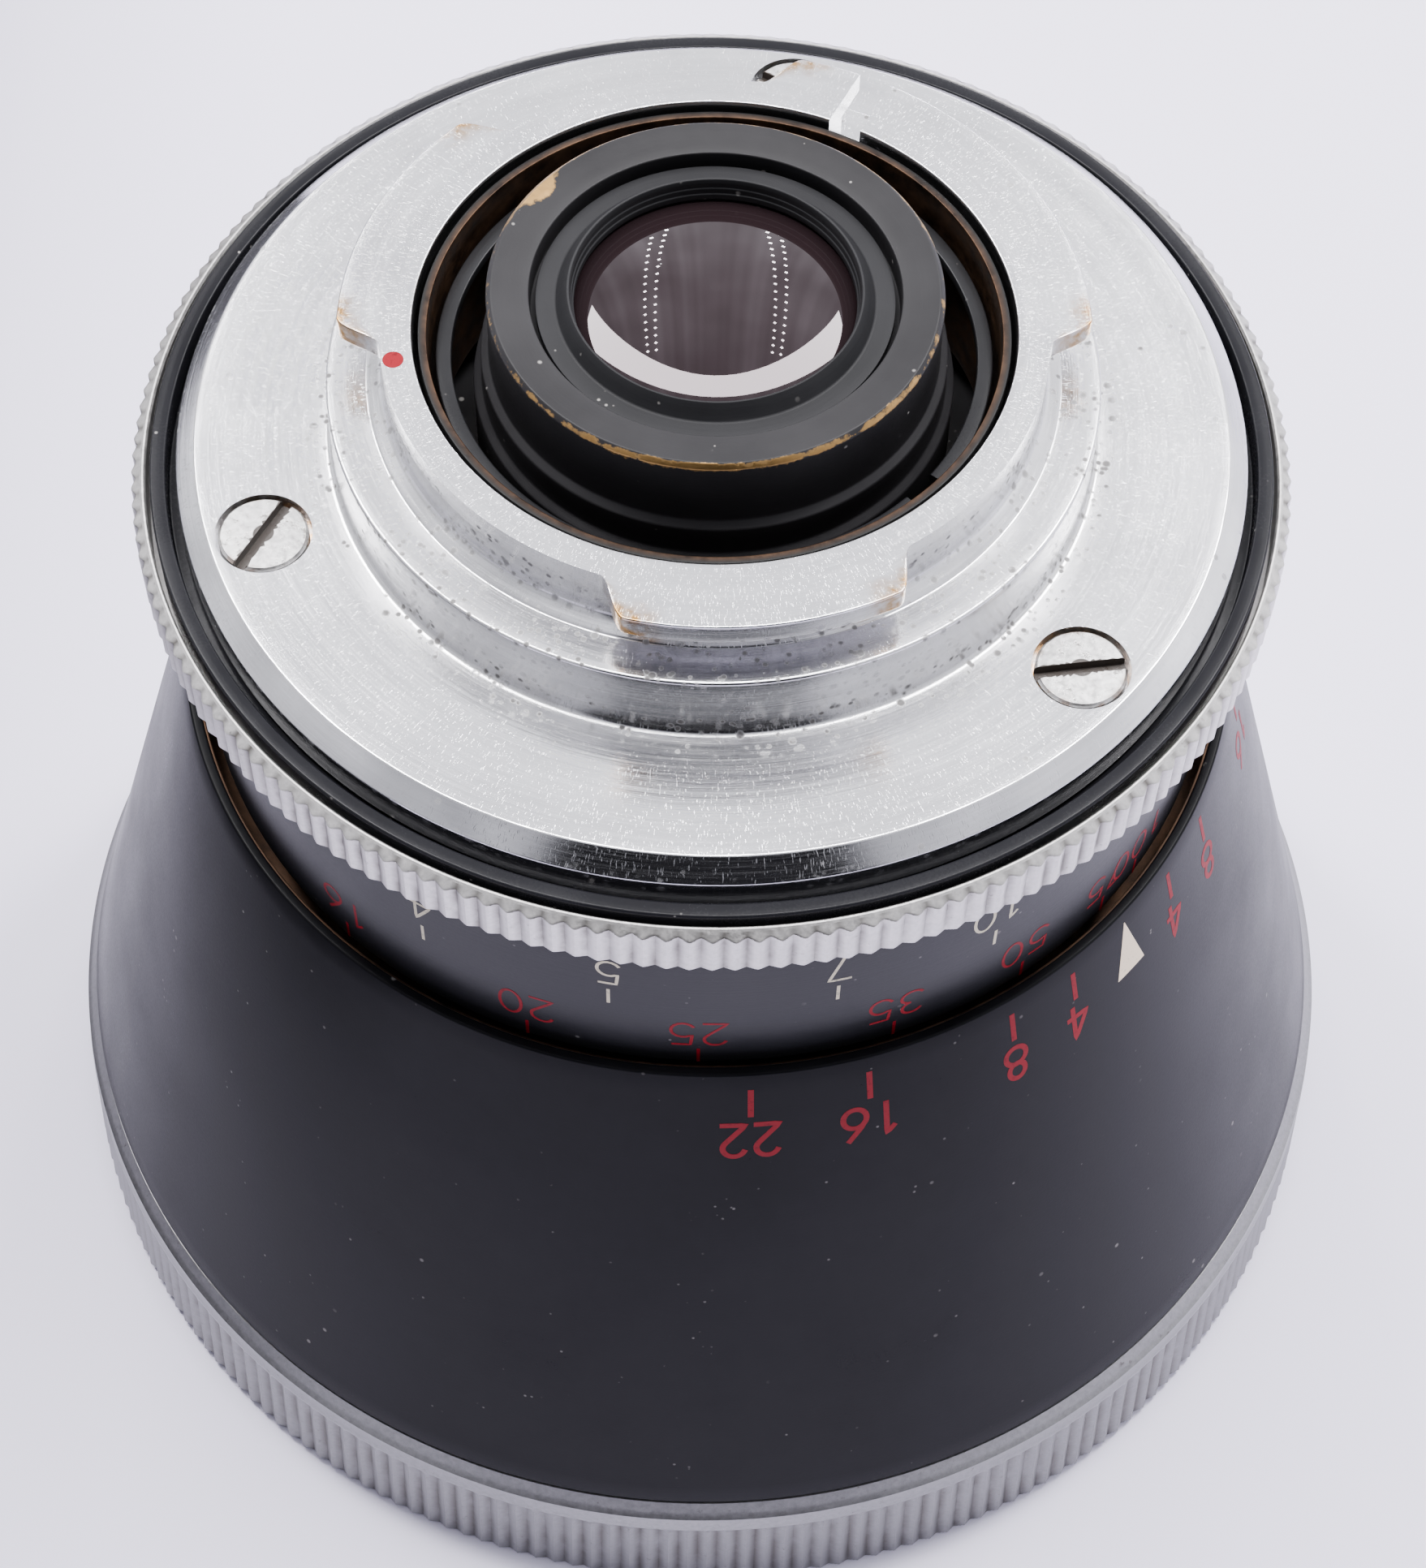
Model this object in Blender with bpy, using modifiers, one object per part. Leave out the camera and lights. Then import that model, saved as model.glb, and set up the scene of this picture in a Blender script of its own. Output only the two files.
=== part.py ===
"""Wide-angle camera lens with a three-lug bayonet, standing on its front ring with the mount up.

The optical axis is Z. Heights are measured up from the rim of the front ring, which is Z = 0.
Sizes are in millimetres and become metres where a mesh is made.
"""

import math

import bmesh
import bpy

MM = 0.001
OBJECT_NAME = "wide_angle_lens"

# --- Driving dimensions ---------------------------------------------------------------------
CLEARANCE = 0.3  # gap between two neighbouring pieces
SIDES = 36  # facets round a large turned piece
SMALL_SIDES = 24  # facets round a small turned piece

# Focusing travel of the front section along Z
TRAVEL_TO_INFINITY = 0.28

# Iris: six blades in flat layers, each on its own pivot
BLADE_COUNT = 6
BLADE_THICKNESS = 0.15
BLADE_PITCH = 0.4  # height of one layer
BLADE_INNER_RADIUS = 9.0
BLADE_OUTER_RADIUS = 15.0
BLADE_SPAN = 105.0  # degrees of arc
BLADE_TURN = 33.6  # degrees from open to closed
IRIS_RING_TURN = 54.0  # degrees of the aperture ring from open to closed
PIVOT_RADIUS = 16.2
PIN_OFFSET = 3.4  # from the pivot to the drive pin
PIN_DIRECTION = 20.0  # degrees, of the drive pin seen from the pivot
PIN_RADIUS = 0.45
PIN_ENGAGEMENT = 0.6
EAR_HALF_WIDTH = 1.1
IRIS_RIM = 1.4  # iris plate beyond the circle of the drive pins
IRIS_PLATE_BORE = 9.2

# Radii of the sleeves, from the iris outwards, follow from these walls
BARREL_WALL = 1.3
GUIDE_WALL = 2.0
HELICOID_WALL = 2.2
NUT_WALL = 2.5
SCALE_WALL = 1.44
BARREL_AIR = 0.4

# Flanges and plates of those sleeves
PLATE_THICKNESS = 1.3
HELICOID_FLANGE_THICKNESS = 2.0
HELICOID_HEADROOM = 1.2  # left above the helicoid tube at infinity
GUIDE_HEADROOM = 0.6  # left under the guide tube at infinity

# Cone shell
CONE_HEIGHT = 39.44
CONE_WALL = 1.4
MOUTH_AIR = 0.71  # between the distance scale and the mouth of the cone
MOUTH_WALL = 0.66
MOUTH_DEPTH = 4.6
SCALE_IN_CONE = 0.75  # how far the cone's mouth rises round the distance scale

# Front ring, which sets the aperture, and the front group
FRONT_GLASS_RADIUS = 35.5
FRONT_GLASS_EDGE = 9.5
FRONT_GLASS_STAND = 4.4  # its lower edge above the bezel
FRONT_GLASS_SAG = 7.3
FRONT_GLASS_BOWL_RADIUS = 29.0
FRONT_GLASS_BOWL_DEPTH = 13.4
FRONT_CELL_WALL = 1.3
SPIGOT_LENGTH = 2.4  # of the front cell, inside the lens barrel
CELL_AIR = 1.6  # between the front cell and the aperture link
LINK_SPACE = 7.7  # from the front cell to the foot of the cone, where the aperture link runs
FRONT_RING_HEIGHT = 11.16
FRONT_RING_OVERHANG = 1.5  # beyond the foot of the cone, at the rim it stands on
FRONT_RING_TAPER = 0.6  # less at the top
FRONT_RING_CHAMFER = 0.6
FRONT_RING_SHOULDER = 1.0  # height of the slope at the top
FRONT_RING_INSET = 3.2  # its inner flange outside the front cell
FRONT_RING_FLANGE = 1.36  # thickness of that flange
BEZEL_AIR = 0.7  # under that flange
BEZEL_THICKNESS = 1.7
BEZEL_WALL = 1.0
BEZEL_RIM_HEIGHT = 1.0
BEZEL_INSET = 2.6  # its outer wall inside the foot of the cone
BEZEL_LIP = 1.7  # its floor over the edge of the front glass
FRONT_RETAINER_WIDTH = 2.1
SECOND_GLASS_INSET = 0.8  # inside the bore of the lens barrel
SECOND_GLASS_OPENING = 0.917  # its lip over its radius
SECOND_GLASS_STAND = 5.8  # its lower edge above the edge of the front glass
SECOND_GLASS_EDGE = 3.2
LINK_WIDTH = 5.0
LINK_FOOT = 1.6
LINK_ROOM = 1.05  # round the link where it passes the shoulder of the front cell
LINK_THICKNESS = 1.4
LINK_DROP = 2.4  # arm of the link under the barrel's flange
LINK_INSET = 0.6  # link inside the barrel's bore
LINK_SCREW_RADIUS = 0.6
LINK_ANGLE = 200.0  # where the link stands at full aperture, degrees

# Focusing ring and distance scale
SCALE_HEIGHT = 14.42
GRIP_OVERHANG = 2.36
GRIP_HEIGHT = 3.53
WEB_THICKNESS = 1.03
NUT_RECESS = 1.85  # nut bottom above the scale's lower edge
FOCUS_PIN_RADIUS = 0.7

# Fixed housing, flange and bayonet
HOUSING_RIM_OVERHANG = 1.2  # beyond the distance scale
HOUSING_RIM_WALL = 0.94
HOUSING_RIM_HEIGHT = 1.6
HOUSING_PLATE = 1.0
FLANGE_GROOVE = 0.65  # open gap round the flange
FLANGE_THICKNESS = 3.0
FLANGE_CHAMFER_WIDTH = 1.25
FLANGE_CHAMFER_HEIGHT = 1.07
BASE_WIDTH = 3.4  # base cylinder beyond the neck
BASE_HEIGHT = 4.5
NECK_WALL = 1.81
NECK_HEIGHT = 2.6
LUG_REACH = 2.5
LUG_THICKNESS = 1.4
LUG_SLOT_WIDTH = 2.0
LUG_SLOT_ANGLE = 64.3
LUG_ENDS = ((-102.0, -61.4), (2.1, 76.5), (136.2, 181.0))  # outer corners of each lug, degrees
LUG_RAMP = 6.2  # degrees from an outer corner down to the neck
MOUNT_SCREW_ANGLES = (80.1, 200.1, 320.1)
MOUNT_SCREW_SLOTS = (148.0, 63.3, 9.0)
MOUNT_SCREW_INSET = 3.14  # screw axis inside the edge of the flange face
SCREW_HEAD_RADIUS = 2.62
SCREW_HEAD_HEIGHT = 1.3
SCREW_SHANK_RADIUS = 1.0
SCREW_SLOT_WIDTH = 0.75
SCREW_SLOT_DEPTH = 0.6

# Rear barrel and its glass
REAR_GLASS_RADIUS = 9.0
REAR_GLASS_COVER = 1.05  # retaining ring over the edge of the glass
REAR_GLASS_SAG = 2.05
REAR_GLASS_DEPTH = 2.1  # edge of the glass below the rim
REAR_GLASS_EDGE = 3.0
REAR_RIM_WALL = 2.46  # at the rim, outside the recess for the retaining ring
REAR_RECESS_WIDTH = 1.15
RETAINER_STAND = 1.1  # flat of the retaining ring above the edge of the glass
RETAINER_THICKNESS = 0.5
RETAINER_LIP = (0.25, 1.15)  # width of its raised lip at the top and at the foot
REAR_STEPS = (0.5, 0.99)  # growth of the barrel's radius at its two shoulders
REAR_STEP_HEIGHTS = (4.65, 6.9)  # of the shoulders below the rim
REAR_RIM_STAND = 2.85  # rim above the bayonet's face
REAR_TUBE_INSET = 0.41  # tube that enters the lens barrel, inside the rim
REAR_TUBE_RUN = 1.1  # of that tube below the barrel's plate
REAR_FLANGE_DEPTH = 2.7  # below the mounting flange
REAR_FLANGE_THICKNESS = 1.5
REAR_FLANGE_AIR = 3.5  # inside the guide tube
CLIP_AIR = 1.1
CLIP_WIDTH = 0.95
CLIP_THICKNESS = 0.6
CLIP_DEPTH = 3.0  # below the bayonet's face
CLIP_GAP_ANGLE = -40.0
CLIP_GAP_WIDTH = 2.2
SLEEVE_AIR = 0.36
SLEEVE_WALL = 0.55

# Key that stops the front section from turning
KEY_WIDTH = 3.0
KEY_LENGTH = 5.0
KEY_SCREW_RADIUS = 0.7

# --- Radii worked out from the driving dimensions -----------------------------------------------
DRIVE_PIN_RADIUS = PIVOT_RADIUS + PIN_OFFSET
IRIS_RADIUS = DRIVE_PIN_RADIUS + IRIS_RIM
BARREL_BORE = IRIS_RADIUS + CLEARANCE
BARREL_RADIUS = BARREL_BORE + BARREL_WALL
GUIDE_BORE = BARREL_RADIUS + BARREL_AIR
GUIDE_RADIUS = GUIDE_BORE + GUIDE_WALL
HELICOID_BORE = GUIDE_RADIUS + CLEARANCE
HELICOID_RADIUS = HELICOID_BORE + HELICOID_WALL
NUT_BORE = HELICOID_RADIUS + CLEARANCE
NUT_RADIUS = NUT_BORE + NUT_WALL
SCALE_BORE = NUT_RADIUS + CLEARANCE
SCALE_RADIUS = SCALE_BORE + SCALE_WALL
MOUTH_BORE = SCALE_RADIUS + MOUTH_AIR
CONE_TOP_RADIUS = MOUTH_BORE + MOUTH_WALL
GRIP_RADIUS = SCALE_RADIUS + GRIP_OVERHANG
HOUSING_RIM_RADIUS = SCALE_RADIUS + HOUSING_RIM_OVERHANG
HOUSING_RIM_BORE = HOUSING_RIM_RADIUS - HOUSING_RIM_WALL
GRIP_BORE = HOUSING_RIM_RADIUS + CLEARANCE
FLANGE_RADIUS = HOUSING_RIM_BORE - FLANGE_GROOVE
FLANGE_FACE_RADIUS = FLANGE_RADIUS - FLANGE_CHAMFER_WIDTH

REAR_GLASS_APERTURE = REAR_GLASS_RADIUS - REAR_GLASS_COVER
REAR_BORE = REAR_GLASS_RADIUS + CLEARANCE
REAR_RECESS_RADIUS = REAR_BORE + REAR_RECESS_WIDTH
REAR_RIM_RADIUS = REAR_RECESS_RADIUS + REAR_RIM_WALL
REAR_FOOT_RADIUS = REAR_RIM_RADIUS + REAR_STEPS[1]
CLIP_BORE = REAR_FOOT_RADIUS + CLIP_AIR
SLEEVE_BORE = CLIP_BORE + CLIP_WIDTH + SLEEVE_AIR
SLEEVE_RADIUS = SLEEVE_BORE + SLEEVE_WALL
BAYONET_BORE = SLEEVE_RADIUS + CLEARANCE
NECK_RADIUS = BAYONET_BORE + NECK_WALL
LUG_RADIUS = NECK_RADIUS + LUG_REACH
BASE_RADIUS = NECK_RADIUS + BASE_WIDTH
MOUNT_SCREW_PITCH = FLANGE_FACE_RADIUS - MOUNT_SCREW_INSET

FRONT_CELL_BORE = FRONT_GLASS_RADIUS + CLEARANCE
FRONT_CELL_RADIUS = FRONT_CELL_BORE + FRONT_CELL_WALL
SECOND_GLASS_RADIUS = BARREL_BORE - SECOND_GLASS_INSET

# --- Heights worked out from the driving dimensions ----------------------------------------------
FRONT_FLANGE_BOTTOM = FRONT_RING_HEIGHT - FRONT_RING_FLANGE
BEZEL_TOP = FRONT_FLANGE_BOTTOM - BEZEL_AIR
FRONT_GLASS_EDGE_LOW = BEZEL_TOP + FRONT_GLASS_STAND
FRONT_GLASS_EDGE_HIGH = FRONT_GLASS_EDGE_LOW + FRONT_GLASS_EDGE
FRONT_CELL_SEAT = FRONT_GLASS_EDGE_HIGH + CLEARANCE
FRONT_CELL_SHOULDER = FRONT_CELL_SEAT + FRONT_CELL_WALL  # where the front cell starts to narrow
SECOND_GLASS_EDGE_LOW = FRONT_GLASS_EDGE_HIGH + SECOND_GLASS_STAND
CONE_FOOT = FRONT_RING_HEIGHT + CLEARANCE
CONE_TOP = CONE_FOOT + CONE_HEIGHT
SCALE_BOTTOM = CONE_TOP - SCALE_IN_CONE
SCALE_TOP = SCALE_BOTTOM + SCALE_HEIGHT
GRIP_BOTTOM = SCALE_TOP + CLEARANCE
GRIP_TOP = GRIP_BOTTOM + GRIP_HEIGHT
WEB_TOP = GRIP_BOTTOM + WEB_THICKNESS
HOUSING_BOTTOM = WEB_TOP + CLEARANCE
HOUSING_TOP = HOUSING_BOTTOM + HOUSING_PLATE
FLANGE_BOTTOM = HOUSING_TOP + CLEARANCE
FLANGE_TOP = FLANGE_BOTTOM + FLANGE_THICKNESS
BASE_TOP = FLANGE_TOP + BASE_HEIGHT
NECK_TOP = BASE_TOP + NECK_HEIGHT
BAYONET_FACE = NECK_TOP + LUG_THICKNESS
REAR_RIM = BAYONET_FACE + REAR_RIM_STAND

RETAINER_DEPTH = REAR_GLASS_DEPTH - RETAINER_STAND
REAR_RECESS_DEPTH = RETAINER_DEPTH + RETAINER_THICKNESS + CLEARANCE
REAR_FLANGE_TOP = FLANGE_BOTTOM - REAR_FLANGE_DEPTH
REAR_FLANGE_BOTTOM = REAR_FLANGE_TOP - REAR_FLANGE_THICKNESS
REAR_FLANGE_RADIUS = GUIDE_BORE - REAR_FLANGE_AIR
BARREL_TOP = REAR_FLANGE_BOTTOM - CLEARANCE
BARREL_PLATE_BOTTOM = BARREL_TOP - PLATE_THICKNESS
REAR_TUBE_BOTTOM = BARREL_PLATE_BOTTOM - REAR_TUBE_RUN
REAR_TUBE_RADIUS = REAR_RIM_RADIUS - REAR_TUBE_INSET

PIN_LENGTH = (BLADE_COUNT - 1) * BLADE_PITCH + CLEARANCE + PIN_ENGAGEMENT
IRIS_PLATE_TOP = REAR_TUBE_BOTTOM - CLEARANCE
IRIS_PLATE_BOTTOM = IRIS_PLATE_TOP - PIN_LENGTH - CLEARANCE
TOP_BLADE = IRIS_PLATE_BOTTOM - CLEARANCE - BLADE_THICKNESS
LOWEST_BLADE = TOP_BLADE - (BLADE_COUNT - 1) * BLADE_PITCH
DRIVE_RING_TOP = LOWEST_BLADE - CLEARANCE
DRIVE_RING_BOTTOM = DRIVE_RING_TOP - PIN_LENGTH

HELICOID_FLANGE_TOP = CONE_TOP - MOUTH_DEPTH - CLEARANCE
HELICOID_FLANGE_BOTTOM = HELICOID_FLANGE_TOP - HELICOID_FLANGE_THICKNESS
HELICOID_TOP = HOUSING_BOTTOM - TRAVEL_TO_INFINITY - HELICOID_HEADROOM
BARREL_FLANGE_TOP = HELICOID_FLANGE_BOTTOM - CLEARANCE
BARREL_FLANGE_BOTTOM = BARREL_FLANGE_TOP - PLATE_THICKNESS
GUIDE_BOTTOM = HELICOID_FLANGE_TOP + TRAVEL_TO_INFINITY + GUIDE_HEADROOM
LINK_ARM_TOP = BARREL_FLANGE_BOTTOM - LINK_DROP
LINK_ARM_BOTTOM = LINK_ARM_TOP - LINK_THICKNESS
CELL_TOP = LINK_ARM_BOTTOM - CELL_AIR
BARREL_BOTTOM = CELL_TOP - SPIGOT_LENGTH


def cone_foot_radius():
    """Wide enough at the foot, and for the link to pass the shoulder of the front cell."""
    share = (CONE_TOP - FRONT_CELL_SHOULDER) / CONE_HEIGHT
    at_shoulder = FRONT_CELL_RADIUS + LINK_THICKNESS + LINK_ROOM + CONE_WALL
    past_shoulder = CONE_TOP_RADIUS + (at_shoulder - CONE_TOP_RADIUS) / share
    return max(FRONT_CELL_RADIUS + LINK_SPACE, past_shoulder)


CONE_FOOT_RADIUS = cone_foot_radius()
FRONT_RING_RADIUS = CONE_FOOT_RADIUS + FRONT_RING_OVERHANG


def cone_radius(height):
    """Outer radius of the cone shell at a height."""
    share = (CONE_TOP - height) / CONE_HEIGHT
    return CONE_TOP_RADIUS + (CONE_FOOT_RADIUS - CONE_TOP_RADIUS) * share


def cone_bore(height):
    return cone_radius(height) - CONE_WALL


def polar(radius, degrees):
    return radius * math.cos(math.radians(degrees)), radius * math.sin(math.radians(degrees))


def arc(radius, start, end, count):
    """Points along a circle round the axis, both ends included."""
    return [polar(radius, start + (end - start) * i / (count - 1)) for i in range(count)]


def dome(radius, edge, sag, count=5):
    """(radius, height) points from the axis to the edge; the axis lies sag above the edge."""
    return [
        (radius * i / (count - 1), edge + sag * (1 - (i / (count - 1)) ** 2)) for i in range(count)
    ]


# --- Making pieces ----------------------------------------------------------------------------------
def clear_scene():
    for obj in list(bpy.data.objects):
        bpy.data.objects.remove(obj, do_unlink=True)


def new_collection(name, hidden=False):
    collection = bpy.data.collections.new(name)
    bpy.context.scene.collection.children.link(collection)
    collection.hide_render = hidden
    return collection


clear_scene()
PARTS = new_collection(OBJECT_NAME)
CUTTERS = new_collection("cutters", hidden=True)


def finish(name, color, roughness, metallic, transmission=0.0):
    """A Principled material for one piece."""
    material = bpy.data.materials.new(name)
    material.use_nodes = True
    shader = material.node_tree.nodes["Principled BSDF"]
    shader.inputs["Base Color"].default_value = (*color, 1.0)
    shader.inputs["Roughness"].default_value = roughness
    shader.inputs["Metallic"].default_value = metallic
    shader.inputs["Transmission Weight"].default_value = transmission
    return material


SATIN_SILVER = ((0.74, 0.74, 0.75), 0.28, 1.0, 0.0)
KNURL_SILVER = ((0.62, 0.63, 0.62), 0.4, 1.0, 0.0)
BLACK_ENAMEL = ((0.015, 0.015, 0.018), 0.3, 0.0, 0.0)
BLACK_ANODISED = ((0.03, 0.03, 0.032), 0.45, 0.3, 0.0)
GREY_SCALE = ((0.07, 0.07, 0.075), 0.4, 0.0, 0.0)
BRASS = ((0.55, 0.38, 0.14), 0.35, 1.0, 0.0)
STEEL = ((0.55, 0.55, 0.56), 0.3, 1.0, 0.0)
GLASS = ((0.85, 0.88, 0.9), 0.03, 0.0, 1.0)


def add_object(name, mesh, look, place=(0, 0, 0), turn=0.0):
    obj = bpy.data.objects.new(name, mesh)
    obj.location = [MM * value for value in place]
    obj.rotation_euler = (0, 0, math.radians(turn))
    if look is None:
        CUTTERS.objects.link(obj)
        obj.hide_render = True
        obj.display_type = "WIRE"
    else:
        PARTS.objects.link(obj)
        if not mesh.materials:
            mesh.materials.append(finish(name, *look))
    return obj


def turned(name, profile, look, sides=SIDES, place=(0, 0, 0), turn=0.0):
    """A turned piece: (radius, height) points down the outer side, then back up the inner side."""
    mesh = bpy.data.meshes.new(name)
    outline = bmesh.new()
    points = [outline.verts.new((MM * radius, 0, MM * height)) for radius, height in profile]
    on_axis = profile[0][0] == 0 and profile[-1][0] == 0
    for first, second in zip(points, points[1:] + ([] if on_axis else points[:1])):
        outline.edges.new((first, second))
    outline.to_mesh(mesh)
    outline.free()
    obj = add_object(name, mesh, look, place, turn)
    screw = obj.modifiers.new("Turn", "SCREW")
    screw.steps = screw.render_steps = sides
    screw.use_merge_vertices = True
    screw.merge_threshold = 0.00001
    return obj


def ring(name, outer, inner, bottom, top, look, sides=SIDES):
    return turned(name, [(outer, top), (outer, bottom), (inner, bottom), (inner, top)], look, sides)


def mesh_of(obj, name):
    """A mesh with the object's modifiers applied and its loose caps welded; the object is removed."""
    bpy.context.view_layer.update()
    graph = bpy.context.evaluated_depsgraph_get()
    mesh = bpy.data.meshes.new_from_object(obj.evaluated_get(graph))
    bpy.data.objects.remove(obj)
    shape = bmesh.new()
    shape.from_mesh(mesh)
    bmesh.ops.remove_doubles(shape, verts=shape.verts, dist=0.000001)
    bmesh.ops.recalc_face_normals(shape, faces=shape.faces)
    shape.to_mesh(mesh)
    shape.free()
    mesh.name = name
    mesh.materials.clear()
    return mesh


def flat_mesh(name, outline, bottom, top):
    """A flat outline in X and Y, filled and given a thickness."""
    curve = bpy.data.curves.new(name, "CURVE")
    curve.dimensions = "2D"
    curve.fill_mode = "BOTH"
    curve.extrude = MM * (top - bottom) / 2
    spline = curve.splines.new("POLY")
    spline.points.add(len(outline) - 1)
    for point, (x, y) in zip(spline.points, outline):
        point.co = (MM * x, MM * y, 0, 1)
    spline.use_cyclic_u = True
    obj = bpy.data.objects.new(name, curve)
    CUTTERS.objects.link(obj)
    mesh = mesh_of(obj, name)
    for vertex in mesh.vertices:
        vertex.co.z += MM * (top + bottom) / 2
    return mesh


def rod_mesh(name, radius, bottom, top, sides=8):
    mesh = bpy.data.meshes.new(name)
    shape = bmesh.new()
    height = MM * (top - bottom)
    bmesh.ops.create_cone(
        shape, cap_ends=True, segments=sides, radius1=MM * radius, radius2=MM * radius, depth=height
    )
    bmesh.ops.translate(shape, verts=shape.verts, vec=(0, 0, MM * (top + bottom) / 2))
    shape.to_mesh(mesh)
    shape.free()
    return mesh


def box_mesh(name, low, high):
    mesh = bpy.data.meshes.new(name)
    shape = bmesh.new()
    bmesh.ops.create_cube(shape, size=MM)
    for vertex in shape.verts:
        for axis in range(3):
            middle = MM * (low[axis] + high[axis]) / 2
            vertex.co[axis] = vertex.co[axis] * (high[axis] - low[axis]) + middle
    shape.to_mesh(mesh)
    shape.free()
    return mesh


def combine(target, cutter, operation="DIFFERENCE"):
    boolean = target.modifiers.new(cutter.name, "BOOLEAN")
    boolean.operation = operation
    boolean.solver = "EXACT"
    boolean.object = cutter


def cut_hole(target, name, radius, x, y, bottom, top, sides=12):
    combine(target, add_object(name, rod_mesh(name, radius, bottom, top, sides), None, (x, y, 0)))


# --- Fixed mount: bayonet, flange, housing -------------------------------------------------------------
def lug_gap(name, start, end):
    """The space between two lugs: ramps down from the outer corners to the neck at both ends."""
    beyond = LUG_REACH + 1.0
    low = NECK_RADIUS + 0.05
    steps = max(3, round((end - start) / 4))
    outline = [polar(NECK_RADIUS + beyond, start), polar(LUG_RADIUS, start)]
    outline += [polar(low + 0.25 * LUG_REACH, start + 0.55 * LUG_RAMP)]
    outline += arc(low, start + LUG_RAMP, end - LUG_RAMP, steps)
    outline += [polar(low + 0.25 * LUG_REACH, end - 0.55 * LUG_RAMP)]
    outline += [polar(LUG_RADIUS, end)]
    outline += arc(NECK_RADIUS + beyond, end, start, 8)[:-1]
    mesh = flat_mesh(name, outline, NECK_TOP - 0.05, BAYONET_FACE + 1.0)
    return add_object(name, mesh, None)


def build_bayonet_mount():
    mount = turned(
        "bayonet_mount",
        [
            (LUG_RADIUS, BAYONET_FACE),
            (LUG_RADIUS, NECK_TOP),
            (NECK_RADIUS, NECK_TOP),
            (NECK_RADIUS, BASE_TOP),
            (BASE_RADIUS, BASE_TOP),
            (BASE_RADIUS, FLANGE_TOP),
            (FLANGE_FACE_RADIUS, FLANGE_TOP),
            (FLANGE_RADIUS, FLANGE_TOP - FLANGE_CHAMFER_HEIGHT),
            (FLANGE_RADIUS, FLANGE_BOTTOM),
            (BAYONET_BORE, FLANGE_BOTTOM),
            (BAYONET_BORE, BAYONET_FACE),
        ],
        SATIN_SILVER,
    )
    for number, (start, end) in enumerate(LUG_ENDS):
        following = LUG_ENDS[(number + 1) % len(LUG_ENDS)][0]
        following += 360 if following < end else 0
        combine(mount, lug_gap(f"lug_gap_{number + 1}", end, following))
    slot = box_mesh(
        "lug_slot",
        (BAYONET_BORE - 1.0, -LUG_SLOT_WIDTH / 2, BASE_TOP + 0.02),
        (LUG_RADIUS + 1.0, LUG_SLOT_WIDTH / 2, BAYONET_FACE + 1.0),
    )
    combine(mount, add_object("lug_slot", slot, None, turn=LUG_SLOT_ANGLE))
    return mount


def build_mount_screws(mount, housing):
    """Countersunk slotted screws through the flange into the housing's plate."""
    head_bottom = FLANGE_TOP - SCREW_HEAD_HEIGHT
    end = HOUSING_BOTTOM + 0.1
    for number, (angle, slot) in enumerate(zip(MOUNT_SCREW_ANGLES, MOUNT_SCREW_SLOTS), 1):
        x, y = polar(MOUNT_SCREW_PITCH, angle)
        name = f"mount_screw_{number}"
        screw = turned(
            name,
            [
                (0, FLANGE_TOP),
                (SCREW_HEAD_RADIUS, FLANGE_TOP),
                (SCREW_HEAD_RADIUS, head_bottom),
                (SCREW_SHANK_RADIUS, head_bottom),
                (SCREW_SHANK_RADIUS, end),
                (0, end),
            ],
            STEEL,
            12,
            (x, y, 0),
            slot,
        )
        reach = SCREW_HEAD_RADIUS + 0.5
        groove = box_mesh(
            name + "_slot",
            (-reach, -SCREW_SLOT_WIDTH / 2, FLANGE_TOP - SCREW_SLOT_DEPTH),
            (reach, SCREW_SLOT_WIDTH / 2, FLANGE_TOP + 0.5),
        )
        combine(screw, add_object(name + "_slot", groove, None, (x, y, 0), slot))
        head_hole = SCREW_HEAD_RADIUS + 0.2
        shank_hole = SCREW_SHANK_RADIUS + CLEARANCE
        cut_hole(
            mount, f"head_hole_{number}", head_hole, x, y, head_bottom - CLEARANCE, FLANGE_TOP + 1, 24
        )
        cut_hole(mount, f"shank_hole_{number}", shank_hole, x, y, FLANGE_BOTTOM - 1, head_bottom)
        cut_hole(
            housing, f"tapped_hole_{number}", shank_hole, x, y, HOUSING_BOTTOM - 1, HOUSING_TOP + 1
        )


def build_housing():
    """Black fixed housing: a rim round the flange, a plate under it and a guide tube downwards."""
    return turned(
        "rear_housing",
        [
            (HOUSING_RIM_RADIUS, HOUSING_TOP + HOUSING_RIM_HEIGHT),
            (HOUSING_RIM_RADIUS, HOUSING_BOTTOM),
            (GUIDE_RADIUS, HOUSING_BOTTOM),
            (GUIDE_RADIUS, GUIDE_BOTTOM),
            (GUIDE_BORE, GUIDE_BOTTOM),
            (GUIDE_BORE, HOUSING_TOP),
            (HOUSING_RIM_BORE, HOUSING_TOP),
            (HOUSING_RIM_BORE, HOUSING_TOP + HOUSING_RIM_HEIGHT),
        ],
        BLACK_ANODISED,
    )


def build_baffle():
    ring(
        "baffle_sleeve",
        SLEEVE_RADIUS,
        SLEEVE_BORE,
        FLANGE_BOTTOM + CLEARANCE,
        BAYONET_FACE - 0.5,
        BRASS,
    )
    clip_top = BAYONET_FACE - CLIP_DEPTH + CLIP_THICKNESS
    clip = ring(
        "baffle_clip",
        CLIP_BORE + CLIP_WIDTH,
        CLIP_BORE,
        clip_top - CLIP_THICKNESS,
        clip_top,
        STEEL,
    )
    gap = box_mesh(
        "clip_gap",
        (CLIP_BORE - 1, -CLIP_GAP_WIDTH / 2, clip_top - 2),
        (CLIP_BORE + CLIP_WIDTH + 1, CLIP_GAP_WIDTH / 2, clip_top + 1),
    )
    combine(clip, add_object("clip_gap", gap, None, turn=CLIP_GAP_ANGLE))


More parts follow.
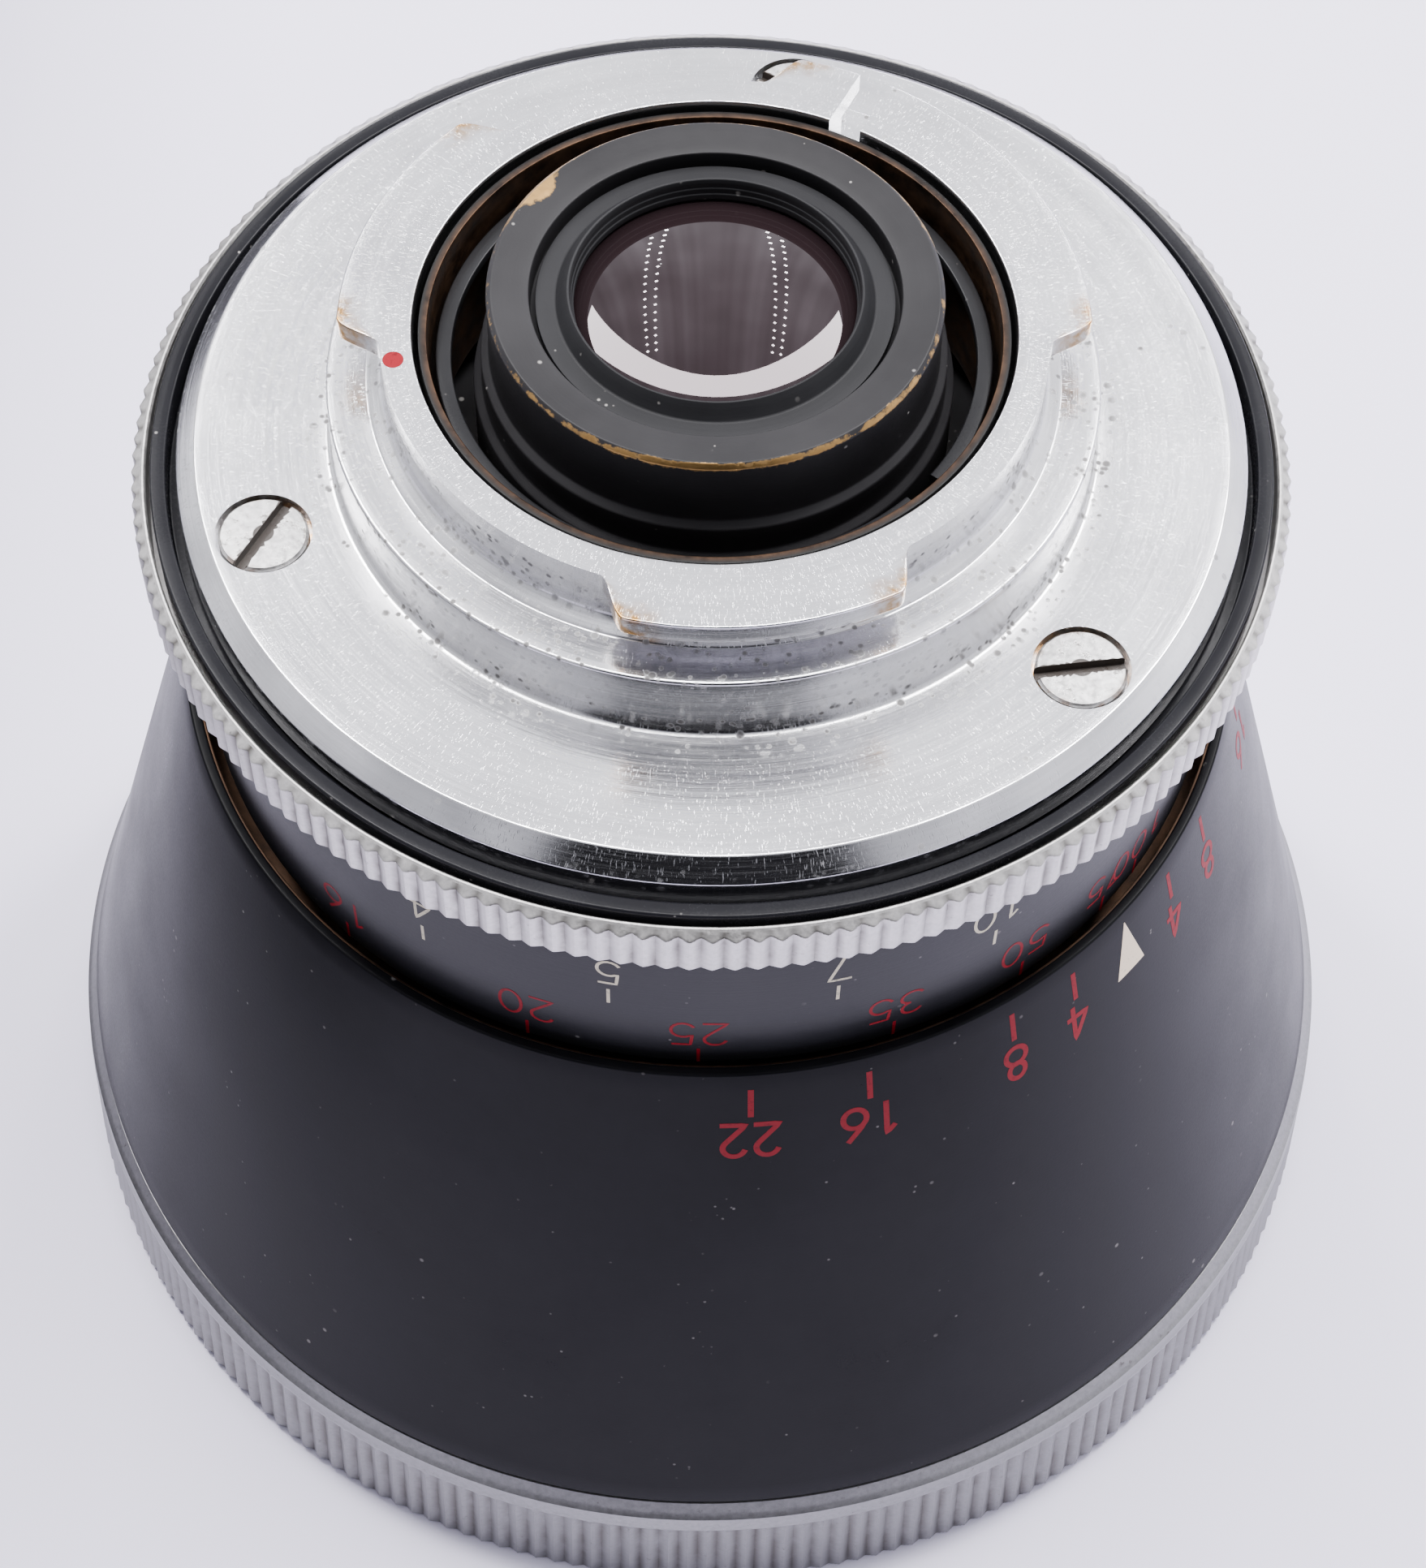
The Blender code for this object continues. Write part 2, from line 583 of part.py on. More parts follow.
def build_key(housing, helicoid):
    """A key on the guide tube stands in a slot of the helicoid tube and stops it from turning."""
    bottom = GUIDE_BOTTOM + 1.0
    face = HELICOID_RADIUS - CLEARANCE
    low = (HELICOID_BORE, -KEY_WIDTH / 2, bottom)
    key = add_object(
        "travel_key",
        box_mesh("travel_key", low, (face, KEY_WIDTH / 2, bottom + KEY_LENGTH)),
        STEEL,
    )
    half_slot = KEY_WIDTH / 2 + CLEARANCE
    slot = box_mesh(
        "key_slot",
        (HELICOID_BORE - 1, -half_slot, HELICOID_FLANGE_TOP + 0.6),
        (HELICOID_RADIUS + 0.2, half_slot, HELICOID_TOP + 1),
    )
    combine(helicoid, add_object("key_slot", slot, None))
    middle = bottom + KEY_LENGTH / 2
    for name, radius, start, end, look in (
        ("key_screw", KEY_SCREW_RADIUS, GUIDE_BORE + CLEARANCE, face - 0.2, STEEL),
        ("key_screw_hole", KEY_SCREW_RADIUS + CLEARANCE, GUIDE_BORE - 1, face + 1, None),
    ):
        rod = add_object(name, rod_mesh(name, radius, start, end, 12), look)
        rod.rotation_euler = (0, math.pi / 2, 0)
        rod.location = (0, 0, MM * middle)
        if look is None:
            combine(key, rod)
            combine(housing, rod)


# --- Focusing ring: grip, distance scale and nut --------------------------------------------------------
def build_focus():
    grip = turned(
        "focus_ring",
        [
            (GRIP_RADIUS, GRIP_TOP),
            (GRIP_RADIUS, GRIP_BOTTOM),
            (NUT_BORE, GRIP_BOTTOM),
            (NUT_BORE, WEB_TOP),
            (GRIP_BORE, WEB_TOP),
            (GRIP_BORE, GRIP_TOP),
        ],
        KNURL_SILVER,
    )
    ring("distance_scale_ring", SCALE_RADIUS, SCALE_BORE, SCALE_BOTTOM, SCALE_TOP, GREY_SCALE)
    nut = ring("focus_nut", NUT_RADIUS, NUT_BORE, SCALE_BOTTOM + NUT_RECESS, SCALE_TOP, BRASS)
    middle = (NUT_BORE + NUT_RADIUS) / 2
    for number in range(3):
        x, y = polar(middle, 60 + 120 * number)
        name = f"focus_pin_{number + 1}"
        pin_bottom = SCALE_TOP - 3.0
        pin = rod_mesh(name, FOCUS_PIN_RADIUS, pin_bottom, WEB_TOP - 0.1)
        add_object(name, pin, STEEL, (x, y, 0))
        for target, bottom in ((grip, GRIP_BOTTOM - 1), (nut, pin_bottom - CLEARANCE)):
            hole = f"{target.name}_pin_hole_{number + 1}"
            cut_hole(target, hole, FOCUS_PIN_RADIUS + CLEARANCE, x, y, bottom, WEB_TOP + 1, 8)


# --- Front section: cone, helicoid tube, barrels and glass ------------------------------------------------
def build_cone():
    mouth_bottom = CONE_TOP - MOUTH_DEPTH
    turned(
        "cone_shell",
        [
            (CONE_TOP_RADIUS, CONE_TOP),
            (cone_radius(mouth_bottom), mouth_bottom),
            (CONE_FOOT_RADIUS, CONE_FOOT),
            (cone_bore(CONE_FOOT), CONE_FOOT),
            (cone_bore(mouth_bottom), mouth_bottom),
            (MOUTH_BORE, mouth_bottom),
            (MOUTH_BORE, CONE_TOP),
        ],
        BLACK_ENAMEL,
    )


def build_helicoid():
    edge = cone_bore(HELICOID_FLANGE_TOP) - CLEARANCE
    return turned(
        "helicoid_tube",
        [
            (HELICOID_RADIUS, HELICOID_TOP),
            (HELICOID_RADIUS, HELICOID_FLANGE_TOP),
            (edge, HELICOID_FLANGE_TOP),
            (edge, HELICOID_FLANGE_BOTTOM),
            (HELICOID_BORE, HELICOID_FLANGE_BOTTOM),
            (HELICOID_BORE, HELICOID_TOP),
        ],
        BRASS,
    )


def sector(inner, outer, start, end):
    """Outline of a stretch of a ring."""
    count = max(3, round(abs(end - start) / 6))
    return arc(inner, start, end, count) + arc(outer, end, start, count)


def build_lens_barrel():
    edge = cone_bore(BARREL_FLANGE_TOP) - CLEARANCE
    bore = REAR_TUBE_RADIUS + CLEARANCE
    barrel = turned(
        "lens_barrel",
        [
            (BARREL_RADIUS, BARREL_TOP),
            (BARREL_RADIUS, BARREL_FLANGE_TOP),
            (edge, BARREL_FLANGE_TOP),
            (edge, BARREL_FLANGE_BOTTOM),
            (BARREL_RADIUS, BARREL_FLANGE_BOTTOM),
            (BARREL_RADIUS, BARREL_BOTTOM),
            (BARREL_BORE, BARREL_BOTTOM),
            (BARREL_BORE, BARREL_PLATE_BOTTOM),
            (bore, BARREL_PLATE_BOTTOM),
            (bore, BARREL_TOP),
        ],
        BLACK_ANODISED,
    )
    side = math.degrees(math.atan2(LINK_WIDTH / 2 + 3 * CLEARANCE, BARREL_BORE))
    slot = flat_mesh(
        "link_slot",
        sector(
            BARREL_BORE - 1, BARREL_RADIUS + 1, LINK_ANGLE - side, LINK_ANGLE + IRIS_RING_TURN + side
        ),
        LINK_ARM_BOTTOM - CLEARANCE,
        LINK_ARM_TOP + CLEARANCE,
    )
    combine(barrel, add_object("link_slot", slot, None))


def build_rear_barrel():
    """Rear barrel with two shoulders, a recess in its face and a bore for three glasses."""
    shoulders = [REAR_RIM - height for height in REAR_STEP_HEIGHTS]
    radii = [REAR_RIM_RADIUS + growth for growth in REAR_STEPS]
    recess = REAR_RIM - REAR_RECESS_DEPTH
    turned(
        "rear_barrel",
        [
            (REAR_RIM_RADIUS, REAR_RIM),
            (REAR_RIM_RADIUS, shoulders[0]),
            (radii[0], shoulders[0] - 0.3),
            (radii[0], shoulders[1]),
            (radii[1], shoulders[1] - 0.3),
            (radii[1], REAR_FLANGE_TOP),
            (REAR_FLANGE_RADIUS, REAR_FLANGE_TOP),
            (REAR_FLANGE_RADIUS, REAR_FLANGE_BOTTOM),
            (REAR_TUBE_RADIUS, REAR_FLANGE_BOTTOM),
            (REAR_TUBE_RADIUS, REAR_TUBE_BOTTOM),
            (REAR_BORE, REAR_TUBE_BOTTOM),
            (REAR_BORE, recess),
            (REAR_RECESS_RADIUS, recess),
            (REAR_RECESS_RADIUS, REAR_RIM),
        ],
        BLACK_ENAMEL,
    )


def glass(name, radius, bottom, top, lower_sag, upper_sag, sides=SMALL_SIDES):
    """A round lens; a sag is how far its middle stands out (or, negative, is hollowed)."""
    upper = dome(radius, top, upper_sag)
    lower = dome(radius, bottom, -lower_sag)
    turned(name, upper + lower[::-1], GLASS, sides)


def build_rear_glass():
    """Stack in the rear barrel, from the rear face down to the iris."""
    edge_top = REAR_RIM - REAR_GLASS_DEPTH
    edge_bottom = edge_top - REAR_GLASS_EDGE
    glass("rear_element", REAR_GLASS_RADIUS, edge_bottom, edge_top, -0.4, REAR_GLASS_SAG)
    retainer_radius = REAR_RECESS_RADIUS - CLEARANCE
    flat = REAR_RIM - RETAINER_DEPTH
    lip_top, lip_foot = (REAR_GLASS_APERTURE + width for width in RETAINER_LIP)
    turned(
        "rear_retaining_ring",
        [
            (retainer_radius, flat),
            (retainer_radius, flat - RETAINER_THICKNESS),
            (REAR_GLASS_APERTURE, flat - RETAINER_THICKNESS),
            (REAR_GLASS_APERTURE, REAR_RIM - 0.05),
            (lip_top, REAR_RIM - 0.05),
            (lip_foot, flat),
        ],
        BLACK_ANODISED,
    )
    bore = REAR_GLASS_RADIUS - 1.3
    height = edge_bottom
    for name, size, kind in (
        ("rear_spacer", 2.2, None),
        ("fifth_element", 2.4, (1.0, 0.8)),
        ("middle_spacer", 2.0, None),
        ("fourth_element", 2.6, (-0.8, -0.7)),
        ("inner_spacer", 1.8, None),
        ("third_element", 2.6, (0.7, 1.0)),
    ):
        height -= CLEARANCE
        if kind is None:
            ring(name, REAR_GLASS_RADIUS, bore, height - size, height, BLACK_ANODISED, SMALL_SIDES)
        else:
            glass(name, REAR_GLASS_RADIUS, height - size, height, *kind)
        height -= size


def build_front_cell():
    second_bore = SECOND_GLASS_RADIUS + CLEARANCE
    second_seat = SECOND_GLASS_EDGE_LOW + SECOND_GLASS_EDGE + CLEARANCE
    second_lip = SECOND_GLASS_RADIUS * SECOND_GLASS_OPENING
    spigot = BARREL_BORE - CLEARANCE
    turned(
        "front_cell",
        [
            (spigot, CELL_TOP),
            (spigot, BARREL_BOTTOM - CLEARANCE),
            (BARREL_RADIUS + 0.9, BARREL_BOTTOM - CLEARANCE),
            (FRONT_CELL_RADIUS, FRONT_CELL_SHOULDER),
            (FRONT_CELL_RADIUS, BEZEL_TOP + CLEARANCE),
            (FRONT_CELL_BORE, BEZEL_TOP + CLEARANCE),
            (FRONT_CELL_BORE, FRONT_CELL_SEAT),
            (FRONT_GLASS_BOWL_RADIUS + 1.8, FRONT_CELL_SEAT),
            (second_bore, FRONT_CELL_SEAT + 2.4),
            (second_bore, second_seat),
            (second_lip, second_seat),
            (spigot - 1.5, CELL_TOP),
        ],
        BLACK_ANODISED,
    )


def build_front_glass():
    """Front meniscus: bulging towards the front, deeply hollowed behind."""
    low, high = FRONT_GLASS_EDGE_LOW, FRONT_GLASS_EDGE_HIGH
    bowl = dome(FRONT_GLASS_BOWL_RADIUS, high, -FRONT_GLASS_BOWL_DEPTH, 6)
    face = dome(FRONT_GLASS_RADIUS, low, -FRONT_GLASS_SAG, 6)
    turned("front_element", bowl + [(FRONT_GLASS_RADIUS, high)] + face[::-1], GLASS)
    edge = SECOND_GLASS_EDGE_LOW
    glass("second_element", SECOND_GLASS_RADIUS, edge, edge + SECOND_GLASS_EDGE, 2.2, 2.0)
    ring(
        "second_retaining_ring",
        SECOND_GLASS_RADIUS,
        SECOND_GLASS_RADIUS - 1.9,
        edge - 2.2,
        edge - 0.7,
        BLACK_ANODISED,
        SMALL_SIDES,
    )
    ring(
        "front_retaining_ring",
        FRONT_GLASS_RADIUS,
        FRONT_GLASS_RADIUS - FRONT_RETAINER_WIDTH,
        BEZEL_TOP + CLEARANCE,
        FRONT_GLASS_EDGE_LOW - 1.3,
        BLACK_ANODISED,
    )


def build_bezel():
    """Front bezel: a flat ring round the glass with a filter-thread wall towards the front."""
    outer = CONE_FOOT_RADIUS - BEZEL_INSET
    inner = FRONT_GLASS_RADIUS - BEZEL_LIP
    floor = BEZEL_TOP - BEZEL_THICKNESS
    turned(
        "front_bezel",
        [
            (outer, BEZEL_TOP),
            (outer, BEZEL_RIM_HEIGHT),
            (outer - BEZEL_WALL, BEZEL_RIM_HEIGHT),
            (outer - BEZEL_WALL, floor),
            (inner, floor),
            (inner, BEZEL_TOP),
        ],
        BLACK_ANODISED,
    )
    return outer


# --- Iris and the front ring that works it ---------------------------------------------------------------
def drive_pin(turn):
    """Where a blade's drive pin stands once the blade has turned, for a pivot on +X."""
    x, y = polar(PIN_OFFSET, PIN_DIRECTION + turn)
    return PIVOT_RADIUS + x, y


def blade_outline():
    """Crescent round the axis, with an ear that reaches out over the pivot to the drive pin."""
    pin_x, pin_y = drive_pin(0)
    side_x, side_y = polar(EAR_HALF_WIDTH, PIN_DIRECTION + 90)
    root = 6.0
    outline = [polar(BLADE_INNER_RADIUS, -root), polar(BLADE_OUTER_RADIUS, -root)]
    outline += [(PIVOT_RADIUS - side_x, -side_y), (pin_x - side_x, pin_y - side_y)]
    for turn in (-45, 0, 45):
        x, y = polar(EAR_HALF_WIDTH, PIN_DIRECTION + turn)
        outline.append((pin_x + x, pin_y + y))
    outline += [(pin_x + side_x, pin_y + side_y), (PIVOT_RADIUS + side_x, side_y)]
    outline += arc(BLADE_OUTER_RADIUS, root, BLADE_SPAN, 10)
    outline += arc(BLADE_INNER_RADIUS, BLADE_SPAN, 0, 10)
    return outline


def build_blades():
    outline = [(x - PIVOT_RADIUS, y) for x, y in blade_outline()]
    sheet = add_object("blade_sheet", flat_mesh("blade_sheet", outline, 0, BLADE_THICKNESS), None)
    pin_x, pin_y = polar(PIN_OFFSET, PIN_DIRECTION)
    pivot = rod_mesh("pivot_pin", PIN_RADIUS, 0.02, BLADE_THICKNESS + PIN_LENGTH)
    drive = rod_mesh("drive_pin", PIN_RADIUS, -PIN_LENGTH, BLADE_THICKNESS - 0.02)
    combine(sheet, add_object("pivot_pin", pivot, None), "UNION")
    combine(sheet, add_object("drive_pin", drive, None, (pin_x, pin_y, 0)), "UNION")
    blade = mesh_of(sheet, "iris_blade")
    for number in range(BLADE_COUNT):
        angle = 360 / BLADE_COUNT * number
        place = (*polar(PIVOT_RADIUS, angle), LOWEST_BLADE + number * BLADE_PITCH)
        add_object(f"iris_blade_{number + 1}", blade, BLACK_ANODISED, place, angle)


def drive_slot_outline():
    """Slot in the drive ring that keeps each drive pin turning its blade at a constant ratio."""
    half_width = PIN_RADIUS + CLEARANCE
    steps = 8
    path = []
    for i in range(-1, steps + 2):
        share = i / steps
        x, y = drive_pin(BLADE_TURN * share)
        turn = -math.radians(IRIS_RING_TURN * share)
        path.append(
            (
                x * math.cos(turn) - y * math.sin(turn),
                x * math.sin(turn) + y * math.cos(turn),
            )
        )
    near, far = [], []
    for i in range(1, len(path) - 1):
        dx, dy = path[i + 1][0] - path[i - 1][0], path[i + 1][1] - path[i - 1][1]
        length = math.hypot(dx, dy)
        dx, dy = dx / length * half_width, dy / length * half_width
        x, y = path[i]
        if i == 1:
            x, y = x - dx * 1.3, y - dy * 1.3
        if i == len(path) - 2:
            x, y = x + dx * 1.3, y + dy * 1.3
        near.append((x - dy, y + dx))
        far.append((x + dy, y - dx))
    return near + far[::-1]


def build_iris():
    plate = ring(
        "iris_plate",
        IRIS_RADIUS,
        IRIS_PLATE_BORE,
        IRIS_PLATE_BOTTOM,
        IRIS_PLATE_TOP,
        BLACK_ANODISED,
    )
    drive_ring = ring(
        "iris_drive_ring",
        IRIS_RADIUS - 0.1,
        PIVOT_RADIUS + 0.8,
        DRIVE_RING_BOTTOM,
        DRIVE_RING_TOP,
        BRASS,
    )
    slot = flat_mesh("drive_slot", drive_slot_outline(), DRIVE_RING_BOTTOM - 1, DRIVE_RING_TOP + 1)
    for number in range(BLADE_COUNT):
        angle = 360 / BLADE_COUNT * number
        x, y = polar(PIVOT_RADIUS, angle)
        hole = f"pivot_hole_{number + 1}"
        cut_hole(plate, hole, PIN_RADIUS + 0.25, x, y, IRIS_PLATE_BOTTOM - 1, IRIS_PLATE_TOP + 1, 8)
        combine(drive_ring, add_object(f"drive_slot_{number + 1}", slot, None, turn=angle))
    build_blades()


def build_aperture_ring(bezel_radius):
    """Front ring: turns the iris through the link and is the foot that the lens stands on."""
    bore = bezel_radius + CLEARANCE
    flange_bore = FRONT_CELL_RADIUS + FRONT_RING_INSET
    aperture_ring = turned(
        "aperture_ring",
        [
            (CONE_FOOT_RADIUS, FRONT_RING_HEIGHT),
            (FRONT_RING_RADIUS - FRONT_RING_TAPER, FRONT_RING_HEIGHT - FRONT_RING_SHOULDER),
            (FRONT_RING_RADIUS, FRONT_RING_CHAMFER),
            (FRONT_RING_RADIUS - FRONT_RING_CHAMFER, 0),
            (bore + 0.4, 0),
            (bore, 0.4),
            (bore, FRONT_FLANGE_BOTTOM),
            (flange_bore, FRONT_FLANGE_BOTTOM),
            (flange_bore, FRONT_RING_HEIGHT),
        ],
        KNURL_SILVER,
    )
    foot_outer = bore - CLEARANCE
    foot_inner = foot_outer - LINK_FOOT
    x, y = polar((foot_inner + foot_outer) / 2, LINK_ANGLE)
    screw = rod_mesh("link_screw", LINK_SCREW_RADIUS, FRONT_FLANGE_BOTTOM + 0.1, CONE_FOOT + 1.2)
    add_object("link_screw", screw, STEEL, (x, y, 0))
    hole_radius, hole_top = LINK_SCREW_RADIUS + CLEARANCE, CONE_FOOT + 1.5
    cut_hole(aperture_ring, "link_screw_hole", hole_radius, x, y, FRONT_FLANGE_BOTTOM - 1, hole_top, 8)
    build_aperture_link(foot_inner, foot_outer)
    link = bpy.data.objects["aperture_link"]
    cut_hole(link, "link_tapped_hole", hole_radius, x, y, CONE_FOOT - 1, hole_top, 8)


def build_aperture_link(foot_inner, foot_outer):
    """Bent strip from the front ring, up inside the cone and through the barrel to the drive ring."""
    strip_inner = BARREL_BORE - LINK_INSET - LINK_THICKNESS
    arm_end = cone_bore(LINK_ARM_TOP) - 2 * CLEARANCE
    lower = arm_end - LINK_THICKNESS
    foot_top = CONE_FOOT + 2.4
    profile = [
        (strip_inner, DRIVE_RING_BOTTOM - CLEARANCE),
        (strip_inner + LINK_THICKNESS, DRIVE_RING_BOTTOM - CLEARANCE),
        (strip_inner + LINK_THICKNESS, LINK_ARM_TOP),
        (arm_end, LINK_ARM_TOP),
        (foot_outer, foot_top),
        (foot_outer, CONE_FOOT),
        (foot_inner, CONE_FOOT),
        (foot_inner, foot_top),
        (lower, LINK_ARM_BOTTOM),
        (strip_inner, LINK_ARM_BOTTOM),
    ]
    mesh = flat_mesh("aperture_link", profile, -LINK_WIDTH / 2, LINK_WIDTH / 2)
    link = add_object("aperture_link", mesh, BRASS, turn=LINK_ANGLE)
    link.rotation_euler = (math.pi / 2, 0, math.radians(LINK_ANGLE))


def build():
    mount = build_bayonet_mount()
    housing = build_housing()
    build_mount_screws(mount, housing)
    build_baffle()
    build_focus()
    build_cone()
    helicoid = build_helicoid()
    build_key(housing, helicoid)
    build_lens_barrel()
    build_rear_barrel()
    build_rear_glass()
    build_front_cell()
    build_front_glass()
    bezel_radius = build_bezel()
    build_iris()
    build_aperture_ring(bezel_radius)


build()
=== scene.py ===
"""Looks of a wide-angle camera lens that stands on its front ring, with the bayonet mount up.

The axis of the lens is Z. Sizes here are in millimetres, measured from the frame where a CAD piece
sets them, and become metres in build_mesh. Angles are degrees, counter-clockwise seen from above.
"""

import bpy
import numpy as np
from mathutils import Matrix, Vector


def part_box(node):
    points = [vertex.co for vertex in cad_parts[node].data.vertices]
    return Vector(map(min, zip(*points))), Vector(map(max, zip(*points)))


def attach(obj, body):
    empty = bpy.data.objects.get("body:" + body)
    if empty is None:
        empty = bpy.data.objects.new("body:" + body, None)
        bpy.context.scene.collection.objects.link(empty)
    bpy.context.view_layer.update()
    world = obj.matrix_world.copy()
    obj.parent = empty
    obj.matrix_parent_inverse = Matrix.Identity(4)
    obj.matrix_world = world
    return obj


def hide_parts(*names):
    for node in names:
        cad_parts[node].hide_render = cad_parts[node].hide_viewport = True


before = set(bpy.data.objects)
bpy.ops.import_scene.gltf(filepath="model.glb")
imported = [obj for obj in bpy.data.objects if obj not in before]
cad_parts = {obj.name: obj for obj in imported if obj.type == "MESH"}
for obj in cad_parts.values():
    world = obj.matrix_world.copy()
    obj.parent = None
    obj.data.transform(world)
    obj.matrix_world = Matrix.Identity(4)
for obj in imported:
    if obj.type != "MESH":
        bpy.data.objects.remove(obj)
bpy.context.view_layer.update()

MM = 0.001
ROUND = 540  # columns round a turned piece
SHARP = 38.0  # an edge that turns more than this is drawn sharp
SKIN = 0.02  # what a new surface stays inside the CAD piece's own


# --- Sizes read from the frame --------------------------------------------------------------------
def low(node):
    """Lower corner of a CAD piece's box."""
    return np.array(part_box(node)[0]) / MM


def high(node):
    """Upper corner of a CAD piece's box."""
    return np.array(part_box(node)[1]) / MM


def top_of(node):
    return float(high(node)[2])


def bottom_of(node):
    return float(low(node)[2])


def radius_of(node):
    """Outer radius of a turned CAD piece on the lens's axis."""
    return float(max(high(node)[0], high(node)[1], -low(node)[0], -low(node)[1]))


BAYONET_FACE = top_of("bayonet_mount")
FLANGE_BOTTOM = bottom_of("bayonet_mount")
FLANGE_RADIUS = radius_of("bayonet_mount")
RIM_TOP = top_of("rear_housing")
HOUSING_RADIUS = radius_of("rear_housing")
GRIP_TOP, GRIP_BOTTOM = top_of("focus_ring"), bottom_of("focus_ring")
GRIP_RADIUS = radius_of("focus_ring")
SCALE_BOTTOM = bottom_of("distance_scale_ring")
SCALE_RADIUS = radius_of("distance_scale_ring")
CONE_TOP, CONE_FOOT = top_of("cone_shell"), bottom_of("cone_shell")
CONE_FOOT_RADIUS = radius_of("cone_shell")
FRONT_RING_TOP = top_of("aperture_ring")
FRONT_RING_RADIUS = radius_of("aperture_ring")
REAR_RIM = top_of("rear_barrel")

BORE_RADIUS, NECK_RADIUS, LUG_RADIUS = 17.17, 19.0, 21.45
BASE_RADIUS, FLANGE_FACE_RADIUS = 22.4, 30.4
LUG_UNDERSIDE = BAYONET_FACE - 1.4
LEDGE = BAYONET_FACE - 4.0
FLANGE_FACE = BAYONET_FACE - 8.5
CONE_TOP_RADIUS = 33.4
REAR_RIM_RADIUS = 12.88


def wave(x):
    """Smooth step from 0 to 1 as x goes from 0 to 1."""
    x = np.clip(x, 0.0, 1.0)
    return x * x * (3 - 2 * x)


def angle_between(degrees, centre):
    """Signed angle from centre, between -180 and 180."""
    return (np.asarray(degrees) - centre + 180.0) % 360.0 - 180.0


def on_circle(radius, degrees):
    """The point (x, y) at an angle on a circle round the axis."""
    return radius * np.cos(np.radians(degrees)), radius * np.sin(np.radians(degrees))


# --- Meshes ---------------------------------------------------------------------------------------
def build_mesh(name, points, faces, look, attributes=None, sharp=SHARP):
    """An object from points (n x 3, millimetres) and a list of face arrays, with point attributes."""
    mesh = bpy.data.meshes.new(name)
    mesh.vertices.add(len(points))
    mesh.vertices.foreach_set("co", (np.asarray(points, float) * MM).astype(np.float32).ravel())
    sizes = np.concatenate([np.full(len(face), face.shape[1]) for face in faces])
    mesh.loops.add(int(sizes.sum()))
    mesh.loops.foreach_set("vertex_index", np.concatenate([f.ravel() for f in faces]).astype(np.int32))
    mesh.polygons.add(len(sizes))
    starts = np.concatenate([[0], np.cumsum(sizes)[:-1]])
    mesh.polygons.foreach_set("loop_start", starts.astype(np.int32))
    mesh.update(calc_edges=True)
    for key, values in (attributes or {}).items():
        layer = mesh.attributes.new(key, "FLOAT", "POINT")
        layer.data.foreach_set("value", np.asarray(values, np.float32).ravel())
    mesh.shade_smooth()
    mesh.set_sharp_from_angle(angle=np.radians(sharp))
    mesh.materials.append(look)
    obj = bpy.data.objects.new(name, mesh)
    bpy.context.scene.collection.objects.link(obj)
    return obj


def grid_faces(rows, columns, close_rows=False, close_columns=False):
    """Quads of a grid whose point (i, j) has index i * columns + j."""
    i, j = np.arange(rows if close_rows else rows - 1), np.arange(columns if close_columns else columns - 1)
    i, j = np.meshgrid(i, j, indexing="ij")
    next_i, next_j = (i + 1) % rows, (j + 1) % columns
    quads = [i * columns + j, i * columns + next_j, next_i * columns + next_j, next_i * columns + j]
    return np.stack(quads, -1).reshape(-1, 4)


def rounded(profile, fillet, steps=3, closed=True):
    """Profile with each corner replaced by a parabola that starts and ends a fillet away from it."""
    corners = np.asarray(profile, float)
    points = []
    for index, corner in enumerate(corners):
        if not closed and index in (0, len(corners) - 1):
            points.append(corner[None])
            continue
        before, after = corners[index - 1] - corner, corners[(index + 1) % len(corners)] - corner
        reach = np.array([np.linalg.norm(before), np.linalg.norm(after)])
        size = np.minimum(fillet if np.isscalar(fillet) else fillet[index], 0.45 * reach)
        start, end = corner + before / reach[0] * size[0], corner + after / reach[1] * size[1]
        t = np.linspace(0, 1, steps + 1)[:, None]
        points.append((1 - t) ** 2 * start + 2 * t * (1 - t) * corner + t**2 * end)
    return np.concatenate(points)


def refined(profile, longest, closed=True):
    """Profile with its long stretches divided, so that no piece is longer than longest."""
    ends = np.concatenate([profile, profile[:1]]) if closed else np.asarray(profile)
    points = []
    for start, end in zip(ends[:-1], ends[1:]):
        count = max(1, int(np.ceil(np.linalg.norm(end - start) / longest)))
        points.append(start + (end - start) * (np.arange(count) / count)[:, None])
    if not closed:
        points.append(ends[-1:])
    return np.concatenate(points)


def stretch(longest, *corners):
    """Points along straight lines from corner to corner, none further apart than longest."""
    return refined(np.array(corners, float), longest, False)


def revolve(name, profile, look, columns=ROUND, radial=None, attributes=None, sharp=SHARP):
    """A closed (radius, height) profile carried round the axis; radial(r, z, angle) may move r."""
    turn = np.linspace(0, 360, columns, endpoint=False)
    r, a = np.meshgrid(profile[:, 0], turn, indexing="ij")
    z = np.repeat(profile[:, 1][:, None], columns, 1)
    marks = attributes(r, z, a) if attributes else None
    if radial:
        r, z = radial(r, z, a)
    points = np.stack([r * np.cos(np.radians(a)), r * np.sin(np.radians(a)), z], -1).reshape(-1, 3)
    faces = [grid_faces(len(profile), columns, True, True)]
    return build_mesh(name, points, faces, look, marks, sharp)


